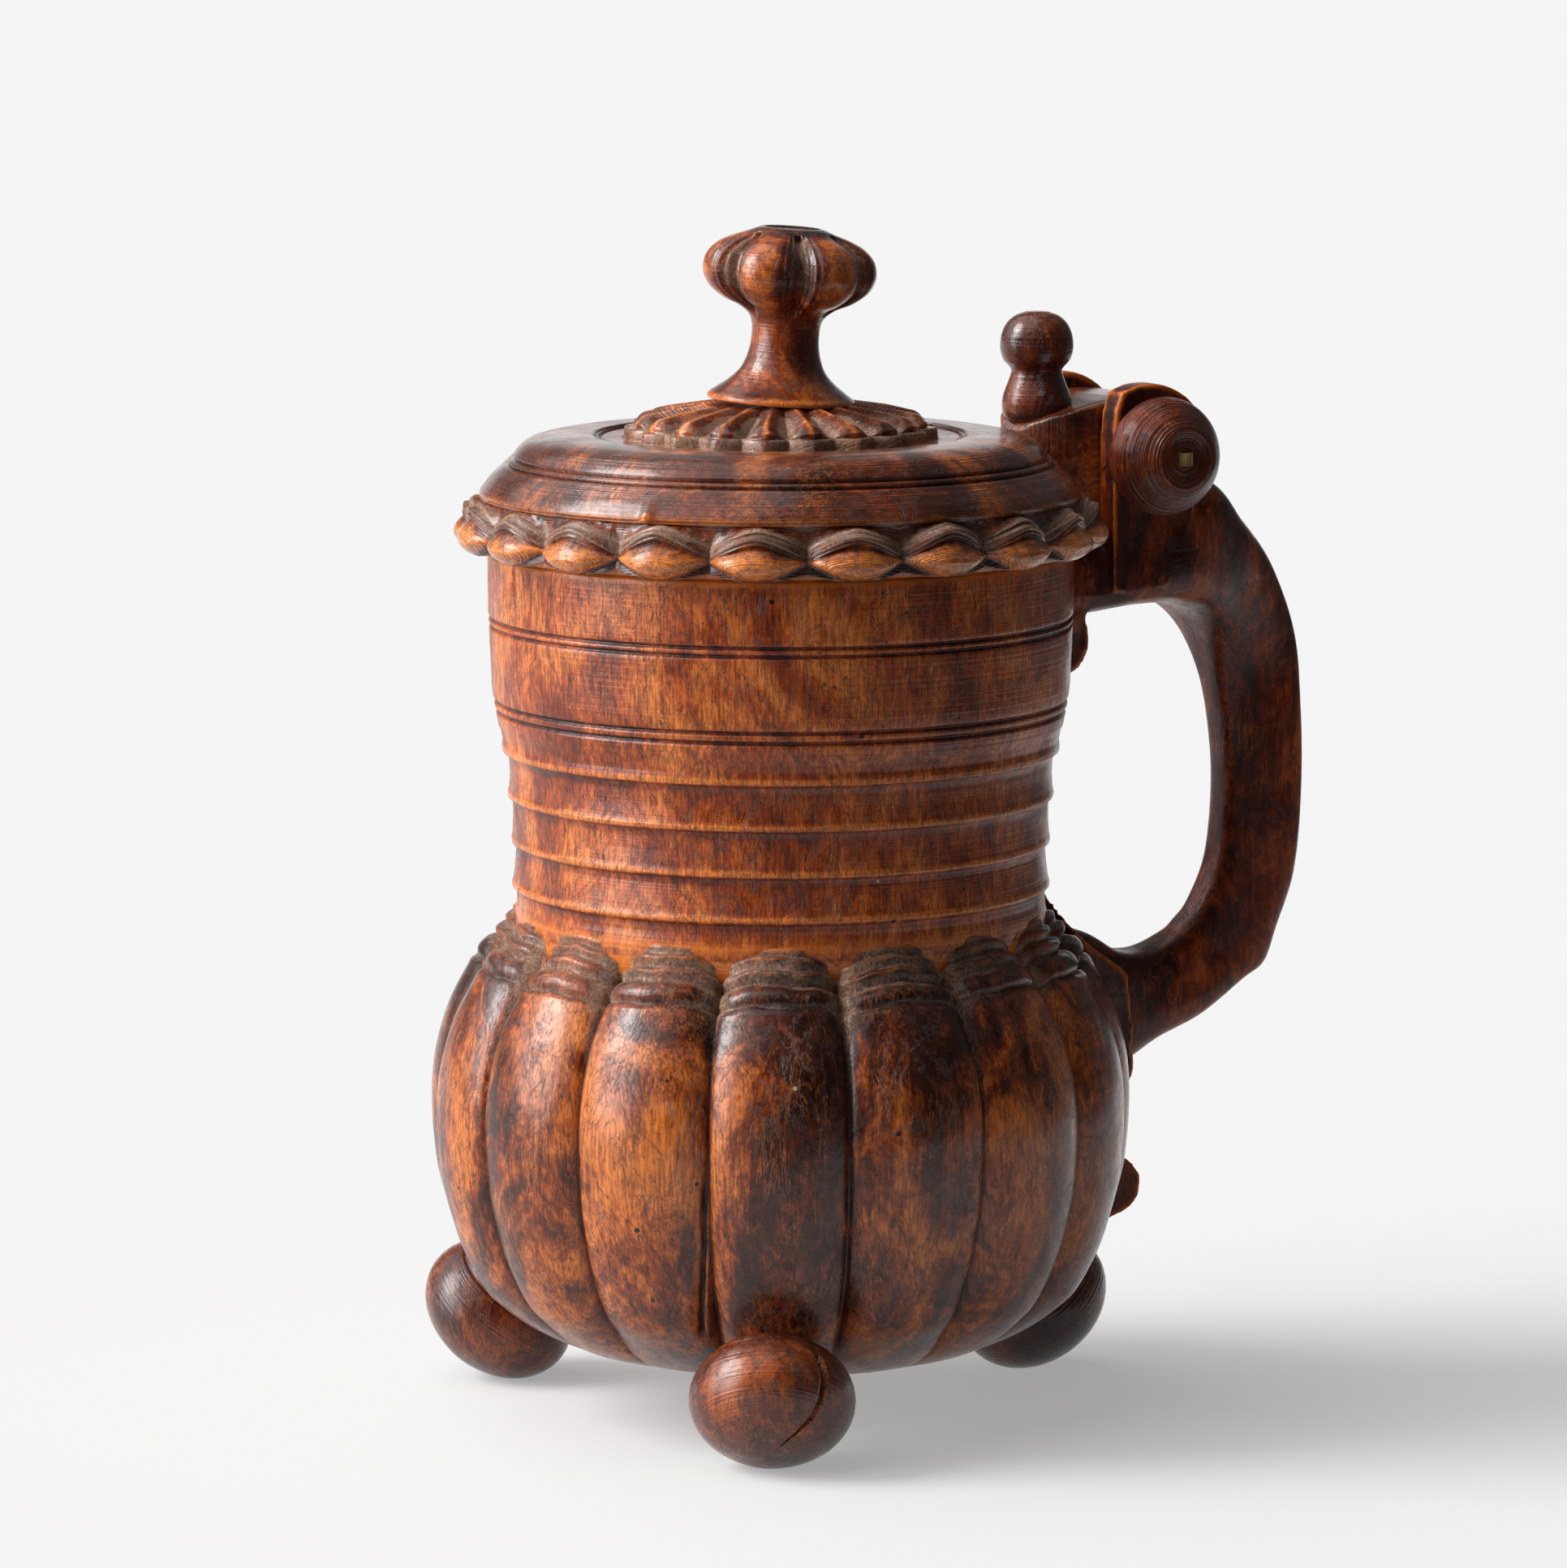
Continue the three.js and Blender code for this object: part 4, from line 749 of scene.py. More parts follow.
KNOB = [
    (9.3, 0.4), (10.4, 1.1), (11.4, 2.8), (11.75, 4.5), (11.65, 6.0), (11.2, 7.6), (10.3, 9.3), (9.1, 10.8),
    (7.9, 12), (6.9, 12.8), (6.1, 13.1), (5.5, 13.05), (4.7, 12.75), (3.2, 12.6), (1.9, 12.55),
]
PIN_HEAD = [
    (6.4, 0.4), (7.2, 0.8), (7.6, 1.8), (7.6, 3.0), (7.1, 4.1), (5.9, 5.0), (3.9, 5.6), (1.9, 5.8),
]
KNOB_COLUMNS = 160
PIN_RADIUS = 3.5
PIN_HALF = 19.6


def on_hinge(points, side):
    """Turns points whose z runs out along the pin towards y = side, and moves them to the hinge."""
    x, y, out = points.T
    return np.stack([HINGE_REACH - side * x, side * out, HINGE_HEIGHT + y], axis=1)


def make_knob(name, profile, material, side, node):
    """A turned knob on the hinge axis: the profile runs outwards from the ear. A polished ring runs
    round the edge of its front disc."""
    line = spline(profile, 0.4)
    angle = (np.arange(KNOB_COLUMNS) * 2 * math.pi / KNOB_COLUMNS)[None, :]
    radius = line[:, 0:1] + wobble(angle, line[:, 1:2], 61, 0.06)
    seat = HEAD_HALF + GAP
    rings = ring_points(radius, angle, seat + line[:, 1:2])
    points, faces = skin(rings, (0, 0, seat + 0.4), (0, 0, seat + profile[-1][1]))
    travel = np.concatenate([[0], np.cumsum(np.linalg.norm(np.diff(line, axis=0), axis=1))])
    along = np.append(np.repeat(travel, KNOB_COLUMNS), [0, travel[-1] + 1.9])
    values = {"along": along, "polish_and_shade": 0.35 * peak(np.hypot(points[:, 0], points[:, 1]) - 6.3, 0.7)}
    shape = on_hinge(points, side), faces
    add_piece(name, shape, material, TANKARD, [node], values)


def make_pin(material):
    """The plain round pin through the ears and the arm."""
    angle = (np.arange(48) * 2 * math.pi / 48)[None, :]
    out = np.linspace(-PIN_HALF, PIN_HALF, 30)[:, None]
    points, faces = skin(ring_points(PIN_RADIUS + 0 * out, angle, out))
    values = {"along": points[:, 2]}
    shape = on_hinge(points, 1), faces
    add_piece("pin_rod", shape, material, TANKARD, ["hinge_pin"], values)


# Handle

# Each station of the grip: a point of its inner edge line, one of its outer edge line, and its width.
GRIP_STATIONS = [
    ((52, 154.5), (52, 170.4), 33.5), ((62, 155), (63, 170.4), 35.5),
    ((73, 156.2), (77, 174), 38.5), ((84, 156), (91.2, 181.4), 37),
    ((91.6, 154.2), (101.4, 173), 29.5), ((96.4, 149), (111.4, 162.6), 20),
    ((100, 139), (119, 147.8), 12.5), ((102.2, 126.7), (121.3, 131.5), 10.4),
    ((102.7, 115), (121.5, 114), 10.2), ((101.2, 102), (119.9, 98.5), 10.2),
    ((97.2, 93.2), (115.6, 87.3), 10.6), ((94, 89.8), (112.6, 79.9), 11),
    ((91, 87.4), (107.5, 76.8), 11.6), ((83.5, 84.6), (96.5, 70.4), 14.2),
    ((76, 85.6), (85.5, 66.5), 17), ((68, 90), (76, 62), 19), ((58, 92), (64, 60), 19),
]
GRIP_SECTIONS = 150
GRIP_ROUNDNESS = 0.5


def make_grip():
    """Sections across the lines between the inner and the outer edge: each is the curve of |cos t|^p
    and |sin t|^p with p = 0.5, a rounded rectangle. The stations are joined by a Catmull-Rom curve."""
    table = np.array([[*a, *b, w] for a, b, w in GRIP_STATIONS])
    at = np.linspace(0, len(table) - 1, GRIP_SECTIONS)
    padded = np.vstack([2 * table[0] - table[1], table, 2 * table[-1] - table[-2]])
    i = np.clip(np.floor(at).astype(int), 0, len(table) - 2)
    t = (at - i)[:, None]
    p0, p1, p2, p3 = padded[i], padded[i + 1], padded[i + 2], padded[i + 3]
    row = 2 * p1 + (p2 - p0) * t + (2 * p0 - 5 * p1 + 4 * p2 - p3) * t**2
    row = 0.5 * (row + (3 * p1 - p0 - 3 * p2 + p3) * t**3)
    inner, outer, width = row[:, 0:2], row[:, 2:4], row[:, 4]
    middle = (inner + outer) / 2
    half_deep = np.linalg.norm(outer - inner, axis=1) / 2
    across = (outer - inner) / (2 * half_deep[:, None])
    turn = (np.arange(64) + 0.5) / 64 * 2 * math.pi
    u = np.sign(np.cos(turn)) * np.abs(np.cos(turn)) ** GRIP_ROUNDNESS
    v = np.sign(np.sin(turn)) * np.abs(np.sin(turn)) ** GRIP_ROUNDNESS
    flat = middle[:, None] + across[:, None] * (half_deep[:, None] * u)[..., None]
    y = -(width / 2)[:, None] * v
    rings = np.stack([flat[..., 0], y, flat[..., 1]], axis=-1)
    return skin(rings)


def slab(outline, low, high):
    """A closed outline in x and z, swept from y = low to y = high."""
    outline = subdivided(list(outline) + [outline[0]], 2.0)[:-1]
    x, z = outline.T
    if np.sum(x * np.roll(z, -1) - np.roll(x, -1) * z) > 0:
        x, z = x[::-1], z[::-1]
    y = np.linspace(low, high, 8)[:, None]
    return skin(np.stack(np.broadcast_arrays(x, y, z), -1))


def arc(radius, turns):
    """Points of a circle round the hinge, in x and z."""
    return [(HINGE_REACH + radius * math.cos(t), HINGE_HEIGHT + radius * math.sin(t)) for t in turns]


EAR_RADIUS = 14
EAR_FRONT = HINGE_REACH - 8.3


def ear_outline():
    """Upright in front, round over the hinge, and running down into the top of the grip."""
    points = [(EAR_FRONT, 160), (EAR_FRONT, HINGE_HEIGHT + 5), (EAR_FRONT + 0.5, HINGE_HEIGHT + 9)]
    points += arc(EAR_RADIUS, np.linspace(118, -30, 26) * DEG)
    return points + [(HINGE_REACH + 9, HINGE_HEIGHT - 16), (HINGE_REACH + 4, HINGE_HEIGHT - 27)]


UPPER_PLATE = [
    (44, 138), (56.7, 138), (57.5, 138.4), (57.6, 140), (57.0, 142), (57.6, 143.4), (60, 145.2),
    (61.5, 148.2), (61.8, 151), (61.2, 153.6), (60.6, 155.2), (62.6, 158), (62.6, 170.4), (44, 170.4),
]
UPPER_HALF = [(136, 11), (140, 14), (144, 15), (149, 16.5), (151, 16.5), (172, 16.5)]
LOWER_PLATE = [
    (42, 29.5), (66, 29.8), (70.5, 31.2), (73.6, 33), (75.4, 35.4), (76.2, 38.2), (75.9, 41.2),
    (74.2, 43.6), (71.8, 45.4), (71.0, 50), (72.2, 56), (74.8, 61.5), (72.8, 82.5), (66, 87.6),
    (62.9, 90.6), (59.6, 95.2), (56.9, 100.2), (54, 108.5), (42, 108.5),
]
LOWER_HALF = [
    (28, 4), (31, 9), (34.5, 13), (38.5, 14.5), (43, 13.4), (49.5, 11), (58, 12.4), (69.5, 14.5),
    (82, 14), (90, 11.5), (98, 7.5), (104, 4), (108.5, 1.8), (112, 1.5),
]


def plate(outline, half_table):
    """A slab across y whose half width changes with the height."""
    points, faces = slab(outline, -1, 1)
    half = np.interp(points[:, 2], [h for h, _ in half_table], [w for _, w in half_table])
    points[:, 1] *= half
    return points, faces


def joined(shapes):
    """Several shapes as one list of points and one of faces."""
    points, faces, base = [], [], 0
    for shape_points, shape_faces in shapes:
        points.append(shape_points)
        faces += [[base + k for k in face] for face in shape_faces]
        base += len(shape_points)
    return np.vstack(points), faces


def as_object(name, shape):
    """A helper object for the modifiers, with no material and on no body. It is removed after use."""
    mesh = bpy.data.meshes.new(name)
    mesh.from_pydata((shape[0] / 1000).tolist(), [], shape[1])
    mesh.update()
    obj = bpy.data.objects.new(name, mesh)
    bpy.context.scene.collection.objects.link(obj)
    return obj


def evaluated(obj):
    """The mesh after modifiers, as points in millimetres and faces. The object is removed."""
    bpy.context.view_layer.update()
    graph = bpy.context.evaluated_depsgraph_get()
    mesh = bpy.data.meshes.new_from_object(obj.evaluated_get(graph))
    points = np.empty(len(mesh.vertices) * 3, np.float32)
    mesh.vertices.foreach_get("co", points)
    faces = [list(p.vertices) for p in mesh.polygons]
    pairs = edge_pairs(mesh)
    bpy.data.objects.remove(obj)
    bpy.data.meshes.remove(mesh)
    return points.reshape(-1, 3).astype(float) * 1000, faces, pairs


def cut_by(shape, cutter):
    """The shape without the space of the cutter."""
    obj, tool = as_object("cut_base", shape), as_object("cutter", cutter)
    modifier = obj.modifiers.new("cut", "BOOLEAN")
    modifier.operation = "DIFFERENCE"
    modifier.solver = "EXACT"
    modifier.object = tool
    points, faces, _ = evaluated(obj)
    bpy.data.objects.remove(tool)
    return points, faces


FORK_HALF = 13.35
FORK_DROP = 14
FORK_RADIUS = 16
FORK_TOP = 230


def fork_outline():
    """The space in which the arm swings: round about the hinge, flat at the bottom, open above."""
    front, rear = HINGE_REACH - 10.3, HINGE_REACH + 36
    points = [(front, FORK_TOP), (front, HINGE_HEIGHT - FORK_DROP)]
    points += arc(FORK_RADIUS, np.linspace(math.asin(-FORK_DROP / FORK_RADIUS), 0, 12))
    return points + [(rear, HINGE_HEIGHT + 6), (rear, FORK_TOP)]


VOXEL = 0.6


def make_handle(material):
    """Grip, ears and back plates: closed shells made into one skin by a voxel remesh, worn smooth
    in a few rounds, and scribed to the vessel where they bear on it."""
    fork = slab(fork_outline(), -FORK_HALF, FORK_HALF)
    grip = cut_by(make_grip(), fork)
    ears = cut_by(slab(ear_outline(), -HEAD_HALF, HEAD_HALF), fork)
    whole = joined([grip, ears, plate(UPPER_PLATE, UPPER_HALF), plate(LOWER_PLATE, LOWER_HALF)])
    obj = as_object("handle_shells", whole)
    modifier = obj.modifiers.new("one_skin", "REMESH")
    modifier.mode = "VOXEL"
    modifier.voxel_size = VOXEL / 1000
    points, faces, pairs = evaluated(obj)
    points = smoothed(points, pairs, 3)
    uneven = wobble(points[:, 2] * 0.05, points[:, 0], 71, 0.2)
    points[:, 1] += uneven * np.sign(points[:, 1]) * (points[:, 2] < 160)
    points = push_out(points)
    values = {"along": points[:, 2]}
    add_piece("handle_grip", (points, faces), material, TANKARD, ["handle"], values)


# Materials


def srgb(red, green, blue):
    """A colour as its screen values from 0 to 255, turned into the linear values that nodes take."""
    channels = [c / 255 for c in (red, green, blue)]
    return tuple(c / 12.92 if c <= 0.04045 else ((c + 0.055) / 1.055) ** 2.4 for c in channels) + (1,)


class Graph:
    """Adds nodes to a node tree. An input may be a number, a colour or another node's output."""

    def __init__(self, tree):
        self.tree = tree

    def add(self, kind, inputs=None, **settings):
        node = self.tree.nodes.new(kind)
        for key, value in settings.items():
            setattr(node, key, value)
        for key, value in (inputs or {}).items():
            socket = node.inputs[key]
            if isinstance(value, bpy.types.NodeSocket):
                self.tree.links.new(value, socket)
            else:
                socket.default_value = value
        return node

    def noise(self, vector, scale, detail=4.0, rough=0.55, distortion=0.0):
        return self.add("ShaderNodeTexNoise", {
            "Vector": vector, "Scale": scale, "Detail": detail, "Roughness": rough,
            "Distortion": distortion,
        }).outputs[0]

    def stretch(self, vector, x, y, z):
        return self.add("ShaderNodeMapping", {"Vector": vector, "Scale": (x, y, z)}).outputs[0]

    def math(self, operation, a, b=0.0):
        return self.add("ShaderNodeMath", {0: a, 1: b}, operation=operation).outputs[0]

    def times(self, a, b):
        return self.math("MULTIPLY", a, b)

    def plus(self, a, b, share):
        """a + b times the share."""
        return self.math("ADD", a, self.times(b, share))

    def centred(self, value):
        """A value round 0.5, such as a noise, moved to lie round 0."""
        return self.math("SUBTRACT", value, 0.5)

    def held(self, value, low, high):
        return self.math("MINIMUM", self.math("MAXIMUM", value, low), high)

    def span(self, value, low, high, to_low=0.0, to_high=1.0):
        """The value from low to high taken smoothly to the new range, and held there outside it."""
        return self.add("ShaderNodeMapRange", {
            "Value": value, "From Min": low, "From Max": high, "To Min": to_low, "To Max": to_high,
        }, interpolation_type="SMOOTHSTEP").outputs[0]

    def blend(self, share, a, b, mode="MIX"):
        settings = {"data_type": "RGBA", "blend_type": mode, "clamp_factor": True}
        return self.add("ShaderNodeMix", {0: share, 6: a, 7: b}, **settings).outputs[2]

    def paint(self, colour, mask, share, over):
        """The colour with another one over it where the mask is, as strong as the share."""
        return self.blend(self.times(mask, share), colour, over)

    def ramp(self, value, stops):
        node = self.add("ShaderNodeValToRGB", {"Fac": value})
        band = node.color_ramp
        while len(band.elements) < len(stops):
            band.elements.new(0.5)
        for element, (position, colour) in zip(band.elements, stops):
            element.position = position
            element.color = colour
        return node.outputs[0]

    def attribute(self, name):
        return self.add("ShaderNodeAttribute", attribute_name=name).outputs["Fac"]

    def group(self, tree, inputs):
        return self.add("ShaderNodeGroup", inputs, node_tree=tree).outputs

    def give(self, end, found):
        """Links what was found to the inputs of these names on the end node."""
        for name, socket in found.items():
            self.tree.links.new(socket, end.inputs[name])


def new_group(name, inputs, outputs):
    """A shader node group with these sockets: numbers, apart from inputs named Vector and Grain.
    Returned with its graph, the sockets that come in and its end node."""
    tree = bpy.data.node_groups.new(name, "ShaderNodeTree")
    for socket in inputs:
        kind = "NodeSocketVector" if socket in ("Vector", "Grain") else "NodeSocketFloat"
        tree.interface.new_socket(name=socket, in_out="INPUT", socket_type=kind)
    for socket in outputs:
        tree.interface.new_socket(name=socket, in_out="OUTPUT", socket_type="NodeSocketFloat")
    graph = Graph(tree)
    return tree, graph, graph.add("NodeGroupInput").outputs, graph.add("NodeGroupOutput")


def make_figure_group():
    """Burr figure, in millimetres: Vector is plain and Grain is shrunk along the fibres. Tone is
    cloudy patches with swirls and flames in them, Fibre fine streaks, Flecks short dark ticks, Veins
    thin wandering lines, Islands dark patches with sharp edges, and Scuffs thin light scratches."""
    names = ("Tone", "Fibre", "Flecks", "Veins", "Islands", "Scuffs")
    tree, g, given, end = new_group("burr_figure", ("Vector", "Grain"), names)
    vector, grain = given["Vector"], given["Grain"]
    clouds = g.noise(g.stretch(vector, 1, 1, 0.6), 0.045, 8, 0.62, 1.1)
    swirls = g.noise(g.stretch(vector, 1, 1, 0.7), 0.16, 7, 0.68, 2.6)
    flames = g.noise(grain, 0.5, 6, 0.65, 0.5)
    fibre = g.noise(grain, 1.9, 4, 0.65, 0.2)
    tone = g.plus(g.plus(g.times(clouds, 0.62), swirls, 0.26), flames, 0.18)
    tick = g.noise(g.stretch(vector, 1, 1, 0.35), 0.9, 4, 0.7, 0.8)
    band = g.noise(g.stretch(vector, 1, 1, 0.5), 0.085, 7, 0.72, 2.2)
    island = g.noise(g.stretch(vector, 1, 1, 0.7), 0.06, 7, 0.7, 1.5)
    scuff = g.noise(grain, 0.34, 5, 0.75, 0.9)
    patchy = g.span(g.noise(vector, 0.07, 3, 0.6), 0.45, 0.62)
    g.give(end, {
        "Tone": g.span(tone, 0.42, 0.64),
        "Fibre": fibre,
        "Flecks": g.span(tick, 0.61, 0.70),
        "Veins": g.span(g.math("ABSOLUTE", g.centred(band)), 0.018, 0.004),
        "Islands": g.span(island, 0.58, 0.68),
        "Scuffs": g.times(g.span(g.math("ABSOLUTE", g.centred(scuff)), 0.014, 0.003), patchy),
    })
    return tree


def make_wear_and_shade_group():
    """Worn edges and painted shade from the relief: Worn is 1 on edges that stand proud, and the second
    output is 1 in hollows, where it darkens them as painted shade. Both are broken up by noise."""
    tree, g, given, end = new_group("edge_wear_and_shade", ("Vector", "Fine", "Wide"), ("Worn", "HollowShade"))
    uneven = g.centred(g.noise(given["Vector"], 0.32, 6, 0.7, 0.8))
    proud = g.math("ADD", given["Fine"], given["Wide"])
    g.give(end, {
        "Worn": g.span(g.plus(proud, uneven, 1.6), 0.35, 1.3),
        "HollowShade": g.span(g.plus(g.times(proud, -1.0), uneven, 0.9), 0.3, 1.3),
    })
    return tree


def make_specks_group():
    """Small round spots in a random few cells: Size is their radius as a share of a cell."""
    tree, g, given, end = new_group("specks", ("Vector", "Scale", "Size", "Share"), ("Spots",))
    places = {"Vector": given["Vector"], "Scale": given["Scale"]}
    cells = g.add("ShaderNodeTexVoronoi", places).outputs
    near = g.math("LESS_THAN", cells["Distance"], given["Size"])
    pick = g.add("ShaderNodeSeparateColor", {"Color": cells["Color"]}).outputs[0]
    g.give(end, {"Spots": g.times(near, g.math("LESS_THAN", pick, given["Share"]))})
    return tree


DUST_DARK = srgb(98, 66, 50)
DUST_LIGHT = srgb(200, 160, 132)
PIT_DARK = srgb(22, 12, 9)
WAX_PALE = srgb(196, 180, 150)
FIGURE = make_figure_group()
WEAR_AND_SHADE = make_wear_and_shade_group()
SPECKS = make_specks_group()


def wood_look(name, palette, grain=(1, 1, 0.09), shade=0.0, lines=0.0, edges=(4.0, 0.8), dusty=1.0,
              burr=1.0, streak=1.0, islands=0.7, gloss=0.3, wax_coat=0.3, shine=0.42, uneven=0.9,
              flecks=0.5, seed=0.0):
    """Waxed old wood. The palette has the screen values of five colours: the figure runs over the
    first four, from black to light, and the last is that of worn places.

    burr is the strength of the cloudy figure, shade what it is lightened by, streak the strength of
    the fine fibres and grain what shrinks the axis that they follow. islands and flecks are the
    strengths of the dark patches and ticks, lines that of the turning marks along the vertex value
    along, and uneven that of the hand-worn dents. edges are the gains of the fine and the wide relief
    in the worn edges and in the painted shade of the hollows. Dust lies where the vertex value carved
    says, as thick as dusty. Where a piece marks polished places the colour is lighter, and where it
    marks below 0 darker, in grooves and hollows as painted shade. gloss is the middle roughness,
    shine the specular level and wax_coat the weight of the coat. seed moves the figure."""
    black, dark, middle, light, worn = [srgb(*values) for values in palette]
    material = bpy.data.materials.new(name)
    material.use_nodes = True
    tree = material.node_tree
    g = Graph(tree)
    shader = tree.nodes["Principled BSDF"]
    place_at = g.add("ShaderNodeTexCoord").outputs["Object"]
    vector = g.add("ShaderNodeMapping", {
        "Vector": place_at, "Scale": (1000, 1000, 1000), "Location": (37 * seed, 11 * seed, 23 * seed),
    }).outputs[0]
    figure = g.group(FIGURE, {"Vector": vector, "Grain": g.stretch(vector, *grain)})
    wear_and_shade = g.group(WEAR_AND_SHADE, {
        "Vector": vector,
        "Fine": g.times(g.attribute("fine"), edges[0]),
        "Wide": g.times(g.held(g.attribute("wide"), -0.8, 0.8), edges[1]),
    })
    # Lighter where polished; below 0 darker, in grooves and hollows as painted shade.
    polish_and_darkening = g.attribute("polish_and_shade")
    rubbed = g.times(wear_and_shade["Worn"], g.held(g.math("ADD", polish_and_darkening, 1.0), 0.0, 1.0))
    # Painted shade: 1 in the hollows of the relief.
    hollow_shade = wear_and_shade["HollowShade"]
    along = g.times(g.attribute("along"), 1.7)
    turned = {"W": along, "Scale": 1.0, "Detail": 2.0}
    marks = g.add("ShaderNodeTexNoise", turned, noise_dimensions="1D").outputs[0]

    tone = g.math("ADD", g.times(g.centred(figure["Tone"]), burr), 0.5 + shade)
    # Polished places lighter; places marked below 0 darker, in grooves and hollows as painted shade.
    tone = g.plus(tone, polish_and_darkening, 0.5)
    colour = g.ramp(tone, [(0.0, black), (0.3, dark), (0.62, middle), (1.0, light)])
    colour = g.paint(colour, figure["Islands"], islands, black)
    colour = g.paint(colour, figure["Veins"], 0.55, black)
    strokes = g.span(figure["Fibre"], 0.3, 0.7, 1 - 0.42 * streak, 1 + 0.34 * streak)
    strokes = g.times(strokes, g.span(marks, 0.35, 0.65, 1 - 0.25 * lines, 1 + 0.2 * lines))
    strokes = g.add("ShaderNodeCombineColor", {0: strokes, 1: strokes, 2: strokes}).outputs[0]
    colour = g.blend(1.0, colour, strokes, "MULTIPLY")
    colour = g.paint(colour, figure["Flecks"], flecks, black)
    colour = g.paint(colour, rubbed, 0.75, worn)
    colour = g.paint(colour, figure["Scuffs"], 0.6, worn)
    # Hollows darkened towards black as painted shade.
    colour = g.paint(colour, hollow_shade, 0.8, [c * 0.6 for c in black[:3]] + [1])
    pits = g.group(SPECKS, {"Vector": vector, "Scale": 0.24, "Size": 0.13, "Share": 0.06})["Spots"]
    colour = g.blend(pits, colour, PIT_DARK)
    wax = g.group(SPECKS, {"Vector": vector, "Scale": 0.095, "Size": 0.045, "Share": 0.10})["Spots"]
    colour = g.blend(wax, colour, WAX_PALE)

    crumbs = g.noise(vector, 1.6, 5, 0.75)
    drift = g.noise(vector, 0.22, 4, 0.65)
    settled = g.attribute("carved")
    patchy = g.plus(g.times(g.centred(crumbs), 1.3), g.centred(drift), 1.3)
    patchy = g.times(patchy, g.span(settled, 0.0, 0.35))
    cover = g.span(g.math("ADD", g.times(settled, dusty), patchy), 0.35, 0.95)
    powder = g.ramp(crumbs, [(0.3, DUST_DARK), (0.7, DUST_LIGHT)])
    colour = g.paint(colour, cover, 0.8, powder)
    tree.links.new(colour, shader.inputs["Base Color"])

    rough = g.span(g.noise(vector, 0.13, 6, 0.65), 0.3, 0.7, gloss - 0.08, gloss + 0.16)
    for mask, share in ((cover, 0.5), (hollow_shade, 0.25), (polish_and_darkening, -0.06)):
        rough = g.plus(rough, mask, share)
    tree.links.new(rough, shader.inputs["Roughness"])
    shader.inputs["Specular IOR Level"].default_value = shine
    shader.inputs["Coat Weight"].default_value = wax_coat
    shader.inputs["Coat Roughness"].default_value = 0.16

    relief = g.times(figure["Fibre"], 0.09)
    dents = g.noise(vector, 0.24, 6, 0.62, 0.8)
    pores = g.noise(vector, 1.1, 4, 0.7)
    heights = [
        (dents, uneven), (pores, 0.05), (figure["Flecks"], -0.08), (figure["Veins"], -0.06),
        (pits, -1.0), (g.times(cover, crumbs), 0.7), (marks, lines),
    ]
    for mask, share in heights:
        relief = g.plus(relief, mask, share)
    bump = g.add("ShaderNodeBump", {"Height": relief, "Strength": 1.0, "Distance": 0.0005}).outputs[0]
    tree.links.new(bump, shader.inputs["Normal"])
    return material


vessel_wood = wood_look(
    "belly_wood", [(44, 17, 10), (86, 34, 15), (140, 64, 25), (198, 110, 48), (212, 124, 54)],
    gloss=0.24, dusty=0.95, burr=0.95, streak=1.2, islands=0.3, uneven=0.35, flecks=0.65,
    edges=(4.0, 1.1), wax_coat=0.2, seed=1.3,
)
neck_wood = wood_look(
    "neck_wood", [(50, 18, 10), (116, 44, 17), (164, 74, 28), (206, 116, 52), (226, 124, 46)],
    grain=(1.1, 1.1, 0.12), shade=0.12, lines=0.14, islands=0.3, gloss=0.3, edges=(4.0, 0.5), burr=0.7,
    streak=1.3, wax_coat=0.12, uneven=0.25, flecks=1.0, seed=2.1,
)
lid_wood = wood_look(
    "lid_wood", [(34, 13, 8), (78, 29, 12), (124, 54, 20), (226, 128, 54), (224, 126, 50)],
    grain=(0.09, 1, 1), lines=0.8, islands=0.25, edges=(2.2, 0.05), burr=0.6, streak=0.9,
    gloss=0.22, wax_coat=0.55, uneven=0.08, seed=3.7,
)
finial_wood = wood_look(
    "finial_wood", [(28, 10, 7), (76, 27, 12), (130, 54, 19), (218, 118, 44), (216, 116, 42)],
    lines=0.3, islands=0.35, edges=(3.0, 0.2), dusty=0.9, burr=0.6, streak=0.8, gloss=0.18,
    wax_coat=0.4, uneven=0.12, seed=5.2,
)
knob_wood = wood_look(
    "knob_wood", [(26, 9, 6), (76, 27, 12), (118, 46, 17), (194, 94, 34), (206, 104, 38)],
    shade=-0.02, lines=1.2, islands=0.3, edges=(3.0, 0.2), burr=0.4, streak=0.6, gloss=0.24,
    wax_coat=0.2, shine=0.3, uneven=0.1, seed=4.4,
)
foot_wood = wood_look(
    "foot_wood", [(24, 9, 6), (66, 24, 11), (110, 46, 17), (190, 98, 38), (206, 110, 42)],
    lines=0.4, islands=0.4, edges=(4.0, 0.2), burr=0.6, streak=0.7, gloss=0.22, wax_coat=0.3,
    uneven=0.14, seed=7.5,
)
handle_wood = wood_look(
    "handle_wood_look", [(22, 8, 6), (82, 27, 12), (128, 49, 19), (196, 96, 38), (220, 114, 42)],
    islands=1.0, edges=(6.5, 1.5), burr=0.8, streak=0.8, gloss=0.32, wax_coat=0.08, shine=0.25,
    uneven=0.25, seed=6.9,
)
pale_wood = wood_look(
    "pale_wood_look", [(128, 92, 54), (168, 128, 80), (196, 158, 108), (212, 176, 128), (216, 180, 130)],
    islands=0.1, gloss=0.55, wax_coat=0.0, uneven=0.2, seed=8.8,
)

